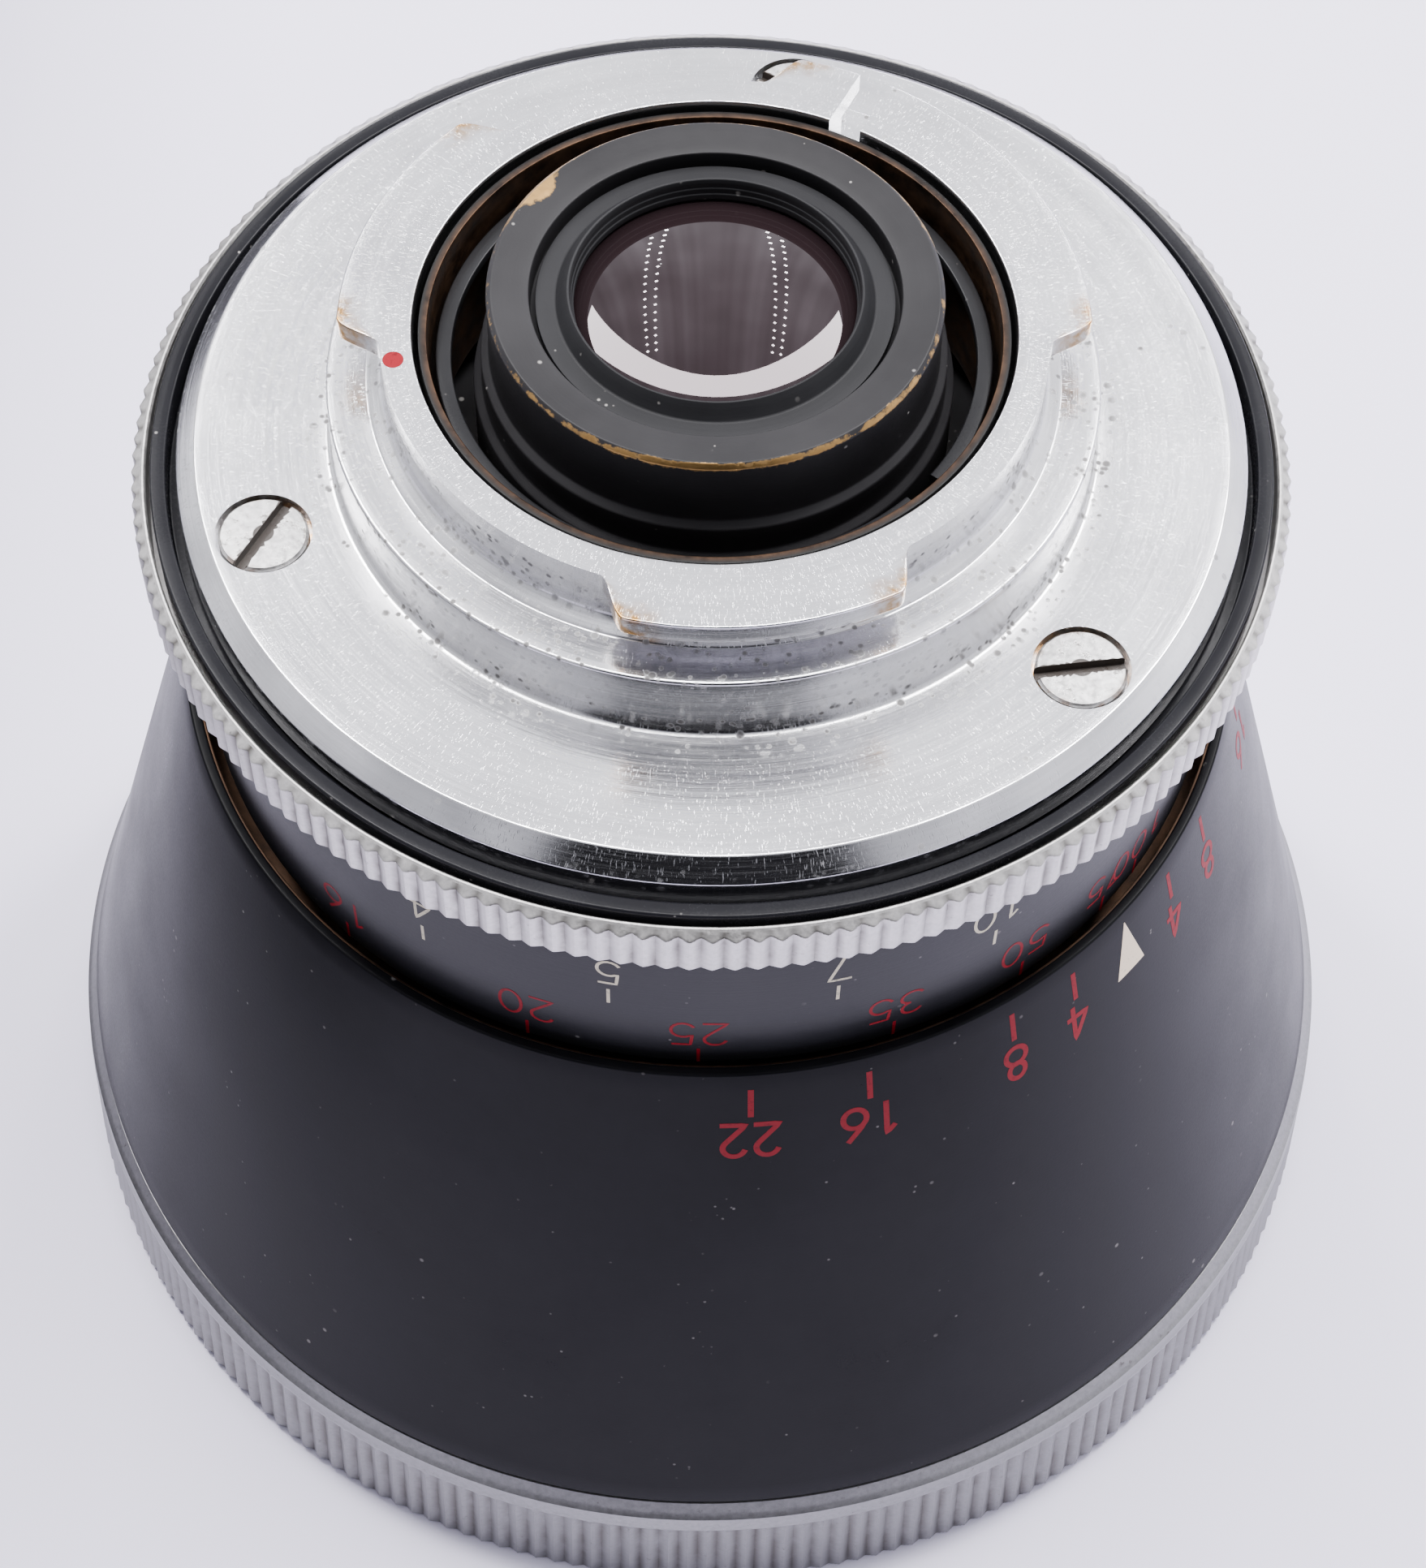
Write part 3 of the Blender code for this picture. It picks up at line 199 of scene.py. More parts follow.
def domed_disc(name, profile, look, columns, attributes=None, sharp=SHARP, centre=(0.0, 0.0)):
    """An open profile from the axis out and back to it, carried round; both poles are one point each."""
    turn = np.linspace(0, 2 * np.pi, columns, endpoint=False)
    inner = profile[1:-1]
    x, y = inner[:, :1] * np.cos(turn) + centre[0], inner[:, :1] * np.sin(turn) + centre[1]
    z = np.repeat(inner[:, 1:], columns, 1)
    sides = np.stack([x, y, z], -1).reshape(-1, 3)
    poles = np.array([[*centre, profile[0, 1]], [*centre, profile[-1, 1]]])
    rows = len(inner)
    ring = np.arange(columns)
    after = (ring + 1) % columns
    top, bottom = rows * columns, rows * columns + 1
    last = (rows - 1) * columns
    caps = [
        np.stack([np.full(columns, top), after, ring], -1)[:, ::-1],
        np.stack([np.full(columns, bottom), last + ring, last + after], -1)[:, ::-1],
    ]
    quads = grid_faces(rows, columns, False, True)
    points = np.concatenate([sides, poles])
    marks = attributes(points) if attributes else None
    return build_mesh(name, points, [quads, *caps], look, marks, sharp)


def face_outwards(obj):
    """Turn the faces outwards when the mesh encloses a negative volume."""
    mesh = obj.data
    points = np.empty(len(mesh.vertices) * 3, np.float32)
    mesh.vertices.foreach_get("co", points)
    mesh.calc_loop_triangles()
    corners = np.empty(len(mesh.loop_triangles) * 3, np.int32)
    mesh.loop_triangles.foreach_get("vertices", corners)
    triangles = points.reshape(-1, 3)[corners.reshape(-1, 3)].astype(float)
    volume = np.einsum("ij,ij->i", triangles[:, 0], np.cross(triangles[:, 1], triangles[:, 2])).sum()
    if volume < 0:
        mesh.flip_normals()
    return obj


def cylinder_points(radius, bottom, top, centre, columns=64):
    """An upright cylinder as two circles, with a wall of quads and one face at each end."""
    turn = np.linspace(0, 2 * np.pi, columns, endpoint=False)
    rim = np.stack([radius * np.cos(turn) + centre[0], radius * np.sin(turn) + centre[1]], -1)
    points = np.concatenate([np.column_stack([rim, np.full(columns, z)]) for z in (bottom, top)])
    walls = grid_faces(2, columns, False, True)
    return points, [walls, np.arange(columns)[None, ::-1], columns + np.arange(columns)[None]]


def box_points(low_corner, high_corner, turn_degrees=0.0, centre=(0.0, 0.0)):
    """A box between two corners, turned about the axis and then moved to its centre."""
    corners = np.array([[x, y, z] for z in (0, 1) for y in (0, 1) for x in (0, 1)], float)
    points = np.asarray(low_corner) + corners * (np.asarray(high_corner) - np.asarray(low_corner))
    c, s = np.cos(np.radians(turn_degrees)), np.sin(np.radians(turn_degrees))
    points[:, :2] = points[:, :2] @ np.array([[c, s], [-s, c]]) + centre
    quads = [[0, 2, 3, 1], [4, 5, 7, 6], [0, 1, 5, 4], [2, 6, 7, 3], [0, 4, 6, 2], [1, 3, 7, 5]]
    return points, [np.array(quads)]


def cut(obj, shapes):
    """Take closed shapes, each (points, faces), out of a piece and keep the result as its mesh."""
    for points, faces in shapes:
        cutter = face_outwards(build_mesh("cutter", points, faces, obj.data.materials[0]))
        boolean = obj.modifiers.new("cut", "BOOLEAN")
        boolean.object = cutter
        boolean.solver = "EXACT"
        bpy.context.view_layer.update()
        graph = bpy.context.evaluated_depsgraph_get()
        mesh = bpy.data.meshes.new_from_object(obj.evaluated_get(graph))
        obj.modifiers.clear()
        obj.data = mesh
        bpy.data.objects.remove(cutter)
    obj.data.set_sharp_from_angle(angle=np.radians(SHARP))
    return obj


def fit(piece, body, node=None):
    """Face a piece outwards and tie it to its body, in place of its CAD node if it stands for one."""
    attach(face_outwards(piece), body)
    if node:
        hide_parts(node)


# --- Materials ------------------------------------------------------------------------------------
class Graph:
    """Short names for the shader nodes of one material."""

    def __init__(self, name):
        self.material = bpy.data.materials.new(name)
        self.material.use_nodes = True
        self.tree = self.material.node_tree
        self.shader = self.tree.nodes["Principled BSDF"]
        self.place = self.node("ShaderNodeTexCoord").outputs["Object"]

    def node(self, kind, **settings):
        node = self.tree.nodes.new(kind)
        for key, value in settings.items():
            setattr(node, key, value)
        return node

    def feed(self, socket, value):
        if isinstance(value, bpy.types.NodeSocket):
            self.tree.links.new(value, socket)
        else:
            socket.default_value = value

    def set(self, **values):
        for key, value in values.items():
            self.feed(self.shader.inputs[key.replace("_", " ")], value)

    def math(self, operation, first, second=0.0, clamp=False):
        node = self.node("ShaderNodeMath", operation=operation, use_clamp=clamp)
        self.feed(node.inputs[0], first)
        self.feed(node.inputs[1], second)
        return node.outputs[0]

    def times(self, first, second, **settings):
        return self.math("MULTIPLY", first, second, **settings)

    def plus(self, first, second):
        return self.math("ADD", first, second)

    def attribute(self, name):
        return self.node("ShaderNodeAttribute", attribute_name=name).outputs["Fac"]

    def noise(self, scale, detail=3.0, roughness=0.55, place=None):
        node = self.node("ShaderNodeTexNoise")
        self.feed(node.inputs["Vector"], place or self.place)
        self.feed(node.inputs["Scale"], scale)
        self.feed(node.inputs["Detail"], detail)
        self.feed(node.inputs["Roughness"], roughness)
        return node.outputs["Fac"]

    def specks(self, scale, size, place=None):
        """1 inside small round spots, 0 elsewhere: near the centres of some Voronoi cells."""
        node = self.node("ShaderNodeTexVoronoi")
        self.feed(node.inputs["Vector"], place or self.place)
        self.feed(node.inputs["Scale"], scale)
        return self.span(node.outputs["Distance"], size, size * 0.55)

    def span(self, value, start, end, low_value=0.0, high_value=1.0):
        """Value carried from start..end to low_value..high_value, held at both ends."""
        node = self.node("ShaderNodeMapRange", clamp=True)
        self.feed(node.inputs["Value"], value)
        for key, number in zip(
            ("From Min", "From Max", "To Min", "To Max"), (start, end, low_value, high_value)
        ):
            self.feed(node.inputs[key], number)
        return node.outputs["Result"]

    def mix(self, amount, first, second):
        node = self.node("ShaderNodeMix", data_type="RGBA")
        self.feed(node.inputs["Factor"], amount)
        self.feed(node.inputs[6], (*first, 1.0) if isinstance(first, tuple) else first)
        self.feed(node.inputs[7], (*second, 1.0) if isinstance(second, tuple) else second)
        return node.outputs[2]

    def lathe_place(self, across=1.0, along=0.02):
        """Coordinates in which a lathe's marks run round: radius and height, and a little of the angle."""
        metres_per_radian = 0.02
        split = self.node("ShaderNodeSeparateXYZ")
        self.feed(split.inputs[0], self.place)
        x, y, z = split.outputs
        radius = self.math("SQRT", self.plus(self.times(x, x), self.times(y, y)))
        turn = self.math("ARCTAN2", y, x)
        join = self.node("ShaderNodeCombineXYZ")
        self.feed(join.inputs[0], self.times(radius, across))
        self.feed(join.inputs[1], self.times(z, across))
        self.feed(join.inputs[2], self.times(turn, along * metres_per_radian))
        return join.outputs[0]

    def bump(self, height, distance, strength=1.0, normal=None):
        node = self.node("ShaderNodeBump")
        self.feed(node.inputs["Height"], height)
        self.feed(node.inputs["Distance"], distance)
        self.feed(node.inputs["Strength"], strength)
        if normal is not None:
            self.feed(node.inputs["Normal"], normal)
        return node.outputs["Normal"]

    def round_tangent(self):
        """Direction round the axis, which stretches the highlights of turned metal."""
        return self.node("ShaderNodeTangent", direction_type="RADIAL", axis="Z").outputs["Tangent"]


# Colours of what lies on the metal and the lacquer, and the near black of painted shade in the gap round the
# baffle sleeve
GREASE_FILM, WORN_BRASS = (0.36, 0.34, 0.30), (0.46, 0.25, 0.075)
BLACK_SPECK, GAP_SHADE_BLACK = (0.035, 0.03, 0.026), (0.006, 0.006, 0.006)
GROOVE_DIRT, DENT, PALE_DUST = (0.075, 0.066, 0.055), (0.08, 0.07, 0.06), (0.42, 0.40, 0.38)


# Noise and speck scales are in cells per metre, and bump distances in metres.
def turned_metal(name, light, dark, roughness):
    """Bright metal off a lathe: fine rings, scratches, black specks, and brass at the worn corners."""
    g = Graph(name)
    rings = g.noise(9000, 4, 0.7, g.lathe_place())
    broad = g.noise(900, 3, 0.6, g.lathe_place())
    patches = g.noise(160, 4, 0.6)
    grime = g.attribute("grime")
    pits = g.math("MAXIMUM", g.specks(1700, 0.36), g.specks(860, 0.27))
    clusters = g.times(g.span(g.noise(330, 4, 0.7), 0.44, 0.53), g.span(grime, 0.08, 0.6))
    film = g.times(g.span(g.noise(420, 5, 0.7), 0.35, 0.75), grime)
    specks = g.times(g.specks(620, 0.16), g.span(g.noise(230, 2), 0.55, 0.7))
    stain = g.math("MAXIMUM", g.times(g.times(pits, clusters), 0.85), specks)
    worn = g.times(g.attribute("wear"), g.span(g.noise(1300, 4), 0.3, 0.62), clamp=True)
    metal = g.mix(g.span(g.times(broad, patches), 0.12, 0.42), dark, light)
    metal = g.mix(g.times(film, 0.3), metal, GREASE_FILM)
    metal = g.mix(worn, metal, WORN_BRASS)
    metal = g.mix(stain, metal, BLACK_SPECK)
    g.set(Base_Color=metal, Metallic=g.span(stain, 0, 1, 1.0, 0.25))
    g.set(Anisotropic=0.6, Anisotropic_Rotation=0.25, Tangent=g.round_tangent())
    finish = g.plus(g.span(rings, 0.3, 0.7, roughness - 0.05, roughness + 0.08), g.times(film, 0.08))
    g.set(Roughness=g.plus(finish, g.times(stain, 0.35)))
    scratches = g.span(g.noise(3200, 2, 0.5, g.lathe_place(0.7, 6.0)), 0.62, 0.72)
    relief = g.math("SUBTRACT", broad, g.times(scratches, 0.25))
    g.set(Normal=g.bump(relief, 0.00003, 0.6, g.bump(rings, 0.000012, 0.55)))
    return g.material


def knurled_metal(name, light, dark, roughness):
    """Matte silver with dirt that sits in the grooves and small dents on the crests."""
    g = Graph(name)
    groove = g.attribute("groove")
    grain = g.noise(2600, 5, 0.7)
    patches = g.noise(300, 4, 0.6)
    dirt = g.times(g.span(groove, 0.3, 0.95), g.span(patches, 0.25, 0.6))
    specks = g.times(g.span(g.noise(1700, 5, 0.7), 0.62, 0.7), g.span(patches, 0.35, 0.6))
    metal = g.mix(g.span(grain, 0.3, 0.7), dark, light)
    metal = g.mix(g.times(dirt, 0.85), metal, GROOVE_DIRT)
    metal = g.mix(g.times(specks, 0.7), metal, DENT)
    g.set(Base_Color=metal, Metallic=0.95)
    g.set(Roughness=g.span(grain, 0.25, 0.75, roughness - 0.06, roughness + 0.1))
    g.set(Normal=g.bump(grain, 0.00002, 0.5))
    return g.material


def enamel(name, colour, roughness, dust, lathe, edge=None, ior=1.5):
    """Black or grey lacquer over turned metal: faint rings, pale dust, and bare metal at worn edges."""
    g = Graph(name)
    mottle = g.noise(90, 4, 0.6)
    fine = g.noise(5200, 3, 0.6)
    rings = g.noise(5200, 3, 0.6, g.lathe_place())
    dots = g.times(g.specks(380, 0.075), g.span(g.noise(140, 3), 0.52, 0.6))
    motes = g.times(g.specks(1300, 0.15), g.span(g.noise(420, 3), 0.6, 0.68))
    pale = g.times(g.math("MAXIMUM", dots, motes), dust)
    lighter = tuple(channel * 1.45 + 0.003 for channel in colour)
    lacquer = g.mix(g.span(mottle, 0.3, 0.7), colour, lighter)
    lacquer = g.mix(pale, lacquer, PALE_DUST)
    metallic = 0.0
    uneven = g.plus(mottle, g.times(fine, 0.5))
    finish = g.span(uneven, 0.5, 1.0, roughness - 0.05, roughness + 0.08)
    if edge:
        ragged = g.times(g.math("SUBTRACT", g.noise(700, 5, 0.7), 0.5), 1.3)
        metallic = g.span(g.plus(g.attribute("wear"), ragged), 0.46, 0.62)
        bare = g.mix(g.noise(1500, 4), edge, tuple(channel * 0.4 for channel in edge))
        lacquer = g.mix(metallic, lacquer, bare)
        finish = g.math("SUBTRACT", finish, g.times(metallic, 0.08))
    g.set(Base_Color=lacquer, Metallic=metallic, IOR=ior)
    g.set(Roughness=g.plus(finish, g.times(pale, 0.4)))
    g.set(Normal=g.bump(g.plus(fine, g.times(rings, lathe * 4)), 0.000008, 0.5))
    return g.material


def brown_brass(name, tone, dark, roughness):
    """Old brass gone brown in streaks that run round the axis, and painted near black where the attribute
    below marks shade.
    """
    g = Graph(name)
    streaks = g.noise(700, 5, 0.65, g.lathe_place(1.0, 0.6))
    spots = g.noise(900, 5, 0.7)
    black = g.attribute("grime")
    colour = g.mix(g.span(g.plus(streaks, spots), 0.75, 1.25), dark, tone)
    # Where the mark is 1 the colour is near black and not metallic: painted shade.
    g.set(Base_Color=g.mix(black, colour, GAP_SHADE_BLACK), Metallic=g.span(black, 0, 1, 0.8, 0.0), IOR=1.25)
    g.set(Roughness=g.span(spots, 0.3, 0.7, roughness - 0.08, roughness + 0.15))
    g.set(Normal=g.bump(streaks, 0.00001, 0.4))
    return g.material


def coated_glass(name, tint, coat, clear=1.0):
    """Polished lens glass with a coloured coating; with clear at 0 it shows only what it reflects."""
    g = Graph(name)
    dust = g.times(g.specks(900, 0.06), g.span(g.noise(350, 2), 0.6, 0.66))
    g.set(Base_Color=g.mix(dust, tint, (0.5, 0.5, 0.5)), Roughness=0.015, IOR=1.42)
    g.set(Transmission_Weight=clear, Specular_Tint=(*coat, 1.0))
    g.set(Normal=g.bump(g.noise(60, 2), 0.000004, 0.2))
    return g.material


def paint(name, colour, gaps=0.35):
    """Paint rubbed into an engraving, thin in places."""
    g = Graph(name)
    wear = g.span(g.noise(2400, 4, 0.7), gaps - 0.12, gaps + 0.1)
    thin = tuple(channel * 0.3 for channel in colour)
    g.set(Base_Color=g.mix(wear, thin, colour), Roughness=0.5, IOR=1.2)
    g.set(Normal=g.bump(g.noise(4000, 3), 0.00001, 0.4))
    return g.material


def plain_steel(name, slotted=False):
    """Turned steel with pits and rust; a slotted screw is dark wherever its face has been cut away, which
    paints the shade in its slot.
    """
    g = Graph(name)
    grain = g.noise(2200, 4, 0.6)
    pits = g.span(g.noise(1400, 6, 0.75), 0.56, 0.66)
    depth = g.attribute("grime")
    rust = g.times(g.span(g.noise(800, 3), 0.5, 0.62), g.span(depth, 0.2, 0.9))
    colour = g.mix(g.span(grain, 0.3, 0.7), (0.50, 0.49, 0.48), (0.72, 0.71, 0.70))
    colour = g.mix(g.times(pits, 0.75), colour, (0.07, 0.06, 0.05))
    colour = g.mix(g.times(rust, 0.7), colour, (0.20, 0.12, 0.07))
    metallic = g.span(pits, 0, 1, 1.0, 0.4)
    if slotted:
        # Painted shade: the slot's cut faces carry no face mark, so they take a dark colour and lose their
        # metal.
        face = g.span(g.attribute("face"), 0.75, 1.0)
        colour = g.mix(face, (0.035, 0.027, 0.022), colour)
        metallic = g.times(metallic, face)
    g.set(Base_Color=colour, Metallic=metallic, Roughness=g.span(grain, 0.3, 0.7, 0.26, 0.42))
    g.set(Normal=g.bump(g.math("SUBTRACT", grain, pits), 0.00002, 0.4))
    return g.material


CHROME = turned_metal("turned_flange_metal", (0.88, 0.88, 0.90), (0.66, 0.66, 0.68), 0.13)
GRIP_SILVER = knurled_metal("focus_knurl_silver", (0.62, 0.60, 0.59), (0.46, 0.45, 0.44), 0.34)
# The front ring's knurled silver is the grip's at under half the brightness: painted shade of the low ring
# facing the dark front.
SHADED_FRONT_SILVER = knurled_metal("front_knurl_silver_shaded", (0.27, 0.27, 0.27), (0.19, 0.19, 0.19), 0.38)
CONE_BLACK = enamel("cone_black_enamel", (0.0035, 0.0035, 0.0045), 0.32, 0.35, 0.1, ior=1.15)
RIM_BLACK = enamel("housing_rim_black", (0.005, 0.005, 0.0065), 0.24, 0.6, 0.3, ior=1.22)
SCALE_GREY = enamel("distance_scale_grey", (0.012, 0.012, 0.014), 0.34, 0.3, 0.3, ior=1.2)
BARREL_BLACK = enamel(
    "rear_barrel_paint", (0.010, 0.0095, 0.0105), 0.42, 0.8, 0.4, edge=(0.50, 0.30, 0.11), ior=1.27
)
MATTE_BLACK = enamel("matte_black_anodising", (0.008, 0.008, 0.009), 0.5, 0.6, 0.5, ior=1.25)
BROWN_BRASS = brown_brass("tarnished_brass", (0.095, 0.052, 0.030), (0.022, 0.013, 0.009), 0.4)
MOUTH_BROWN = brown_brass("cone_mouth_brown", (0.085, 0.048, 0.030), (0.02, 0.013, 0.010), 0.5)
HELICOID_BRASS = brown_brass("helicoid_brass", (0.50, 0.36, 0.15), (0.28, 0.19, 0.08), 0.3)
REAR_GLASS = coated_glass("rear_glass_purple", (0.010, 0.006, 0.007), (1.0, 0.88, 0.93), 0.0)
INNER_GLASS = coated_glass("inner_glass", (0.75, 0.68, 0.74), (0.9, 0.7, 0.9))
FRONT_GLASS = coated_glass("front_glass_amber", (0.90, 0.88, 0.84), (0.9, 0.75, 0.6))
SCREW_STEEL = plain_steel("screw_steel")
HEAD_STEEL = plain_steel("slotted_head_steel", slotted=True)
CLIP_STEEL = enamel("clip_blackened", (0.008, 0.008, 0.009), 0.3, 0.3, 0.4, ior=1.3)
BLADE_STEEL = enamel("blade_blackened", (0.03, 0.03, 0.034), 0.4, 0.1, 0.2)
RED = paint("red_figures", (0.21, 0.004, 0.011))
IVORY = paint("ivory_figures", (0.62, 0.57, 0.42))
PALE_IVORY = paint("ivory_index", (0.84, 0.70, 0.52), 0.3)


# --- Bayonet flange -------------------------------------------------------------------------------
LUGS = ((-102.0, -61.4), (2.1, 76.5), (136.2, 181.0))  # angles of the outer corners
LUG_RAMP = 6.0  # angle over which a lug's end falls to the neck
LUG_SLOT_ANGLE, LUG_SLOT_WIDTH = 64.3, 2.0
SCREW_ANGLES, SCREW_SLOTS = (80.1, 200.1, 320.1), (148.0, 63.3, 9.0)
SCREW_PITCH, SCREW_HOLE = 27.26, 2.82


def lug_share(degrees):
    """1 on a lug, 0 on the neck between lugs, with an S-shaped ramp just outside each corner."""
    share = np.zeros_like(degrees)
    for start, end in LUGS:
        middle, half = (start + end) / 2, (end - start) / 2
        outside = np.abs(angle_between(degrees, middle)) - half
        share = np.maximum(share, wave(1 - outside / LUG_RAMP))
    return share


def lug_corner_wear(degrees):
    """1 at the outer corners of the lugs, falling to 0 a few degrees away."""
    corners = np.array(LUGS).ravel()
    gap = np.abs(angle_between(degrees[..., None], corners)).min(-1)
    return wave(1.25 - gap / 5.0)


def bayonet_profile():
    """Corners of the turned blank, from the lugs' outer edge down to the flange and up the bore."""
    face, back, rim = BAYONET_FACE - SKIN, FLANGE_BOTTOM + 0.01, FLANGE_RADIUS - SKIN
    corners = [
        ((LUG_RADIUS, face), 0.12),
        ((LUG_RADIUS, LUG_UNDERSIDE), 0.12),
        ((NECK_RADIUS, LUG_UNDERSIDE), 0.2),
        ((NECK_RADIUS, LEDGE + 0.55), 0.45),
        ((NECK_RADIUS + 0.9, LEDGE + 0.1), 0.25),
        ((NECK_RADIUS + 1.0, LEDGE), 0.12),
        ((BASE_RADIUS - 0.05, LEDGE), 0.2),
        ((BASE_RADIUS, FLANGE_FACE), 0.45),
        ((FLANGE_FACE_RADIUS, FLANGE_FACE), 0.1),
        ((rim, FLANGE_FACE - 1.07), 0.12),
        ((rim, back), 0.1),
        ((BORE_RADIUS, back), 0.1),
        ((BORE_RADIUS, face), 0.14),
    ]
    profile, fillets = zip(*corners)
    return refined(rounded(profile, fillets, 4), 0.5)


def bayonet_radial(r, z, a):
    """Between the lugs, whatever stands out beyond the neck above the underside drops to the neck."""
    upper = z > LUG_UNDERSIDE - 0.25
    beyond = np.clip(r - NECK_RADIUS, 0, None)
    share = lug_share(a)
    lugged = NECK_RADIUS + beyond * share + 0.02 * (1 - share) * (beyond > 0)
    return np.where(upper & (beyond > 0), lugged, r), z


def bayonet_marks(r, z, a):
    """Grime in the corners and on the walls, and wear at the outer corners of the lugs."""
    foot = np.exp(-(((r - BASE_RADIUS - 0.4) / 1.1) ** 2))
    foot = foot * (z < FLANGE_FACE + 1.2) * (z > FLANGE_FACE - 0.2)
    ledge = (r > NECK_RADIUS - 0.1) * (r < BASE_RADIUS + 0.1) * (z < LUG_UNDERSIDE) * (z > LEDGE - 0.3)
    groove = wave((r - FLANGE_FACE_RADIUS - 0.6) / 0.6) * (z < FLANGE_FACE - 0.5)
    walls = (r > BASE_RADIUS - 0.3) * (r < BASE_RADIUS + 0.2) * (z > FLANGE_FACE)
    under = (r > NECK_RADIUS - 0.2) * (z > LUG_UNDERSIDE - 0.3) * (z < LUG_UNDERSIDE + 0.2)
    grime = 0.85 * foot + 0.5 * ledge + 0.2 * groove + 0.25 * walls + 0.7 * under
    edge = (z > LUG_UNDERSIDE - 0.1) * wave((r - NECK_RADIUS - 0.8) / 1.4)
    return {"grime": np.clip(grime, 0, 1), "wear": lug_corner_wear(a) * edge}


def make_bayonet():
    """The turned blank, less a slot through one lug and a round pocket for each screw's head."""
    pocket_depth, clear = 1.55, 1.0
    flange = revolve("bayonet_flange", bayonet_profile(), CHROME, 600, bayonet_radial, bayonet_marks)
    slot = box_points(
        (BORE_RADIUS - clear, -LUG_SLOT_WIDTH / 2, LEDGE + SKIN),
        (LUG_RADIUS + clear, LUG_SLOT_WIDTH / 2, BAYONET_FACE + clear),
        LUG_SLOT_ANGLE,
    )
    low_end, high_end = FLANGE_FACE - pocket_depth, FLANGE_FACE + clear
    pockets = [
        cylinder_points(SCREW_HOLE, low_end, high_end, on_circle(SCREW_PITCH, angle))
        for angle in SCREW_ANGLES
    ]
    cut(face_outwards(flange), [slot, *pockets])
    fit(flange, "mount", "bayonet_mount")


def make_mount_screws():
    """A flat head with a rounded edge on a shank, carried round, less a slot at the screw's own angle."""
    head, head_depth, shank = 2.61, 1.3, 1.0
    slot_half, slot_depth = 0.36, 0.6
    for number, (angle, slot_angle) in enumerate(zip(SCREW_ANGLES, SCREW_SLOTS), 1):
        node = f"mount_screw_{number}"
        top, bottom = top_of(node), bottom_of(node)
        centre = on_circle(SCREW_PITCH, angle)
        profile = np.array([
            (0, top), (1.6, top - 0.015), (head - 0.16, top - 0.04), (head, top - 0.2),
            (head, top - head_depth + SKIN), (shank, top - head_depth), (shank, bottom), (0, bottom),
        ])

        def marks(points, centre=centre, top=top):
            away = np.hypot(points[:, 0] - centre[0], points[:, 1] - centre[1])
            grime = np.clip(wave((away - 2.2) / 0.4) + (points[:, 2] < top - 0.3), 0, 1)
            return {"grime": grime, "face": np.ones(len(points))}

        name, shape = f"slotted_screw_{number}", refined(profile, 0.35, False)
        screw = domed_disc(name, shape, HEAD_STEEL, 96, marks, centre=centre)
        low_corner, high_corner = (-3.2, -slot_half, top - slot_depth), (3.2, slot_half, top + 0.5)
        cut(face_outwards(screw), [box_points(low_corner, high_corner, slot_angle, centre)])
        fit(screw, "mount", node)


def make_index_dot():
    """Red bead in the bayonet's face: a shallow dome with its rim just proud of the metal."""
    angle, pitch, size, sunk = -169.2, 18.33, 0.68, 0.2
    top = BAYONET_FACE - SKIN
    dome = [(0, top + 0.015), (size * 0.6, top + 0.012), (size, top - 0.005)]
    profile = np.array([*dome, (size, top - sunk), (0, top - sunk)])
    dot = domed_disc("red_index_dot", profile, RED, 48, centre=on_circle(pitch, angle))
    fit(dot, "mount")


# --- Turned pieces that stand for CAD nodes -------------------------------------------------------
def turned_piece(name, node, body, profile, look, fillet, longest=1.5, attributes=None, columns=ROUND):
    """Corners (radius, height), rounded and carried round the axis, in place of a CAD node."""
    shape = refined(rounded(profile, fillet), longest)
    fit(revolve(name, shape, look, columns, None, attributes), body, node)


def ring_profile(node, wall):
    """Corners of a plain ring of that wall, as tall and as wide as the CAD piece."""
    top, bottom, outer = top_of(node), bottom_of(node), radius_of(node)
    return [(outer, top), (outer, bottom), (outer - wall, bottom), (outer - wall, top)]


def make_housing():
    """Rim round the flange, plate under it and guide tube, as one profile carried round."""
    rim_inner, tube_outer, tube_inner = 32.3, 25.0, 23.0
    plate_top, plate_bottom, bottom = RIM_TOP - 1.6, RIM_TOP - 2.6, bottom_of("rear_housing")
    profile = [
        (HOUSING_RADIUS, RIM_TOP),
        (HOUSING_RADIUS, plate_bottom),
        (tube_outer, plate_bottom),
        (tube_outer, bottom),
        (tube_inner, bottom),
        (tube_inner, plate_top),
        (rim_inner, plate_top),
        (rim_inner, RIM_TOP),
    ]
    turned_piece("housing_rim", "rear_housing", "mount", profile, RIM_BLACK, 0.16)


def make_baffle():
    """Thin sleeve, black on its outside near the top as painted shade of the narrow gap round it: the mark is
    1 beyond a radius, over a short ramp.
    """
    wall, black_skin, ramp, black_height = 0.5, 0.44, 0.05, 3.0
    top, outer = top_of("baffle_sleeve"), radius_of("baffle_sleeve")

    def blackened(r, z, a):
        # Painted shade: the sleeve's outside and top edge near the top, down in the narrow gap to the bore,
        # are marked black.
        return {"grime": np.clip((r - outer + black_skin) / ramp, 0, 1) * (z > top - black_height)}

    turned_piece(
        "brown_baffle_sleeve", "baffle_sleeve", "mount",
        ring_profile("baffle_sleeve", wall), BROWN_BRASS, 0.08, 0.5, blackened,
    )


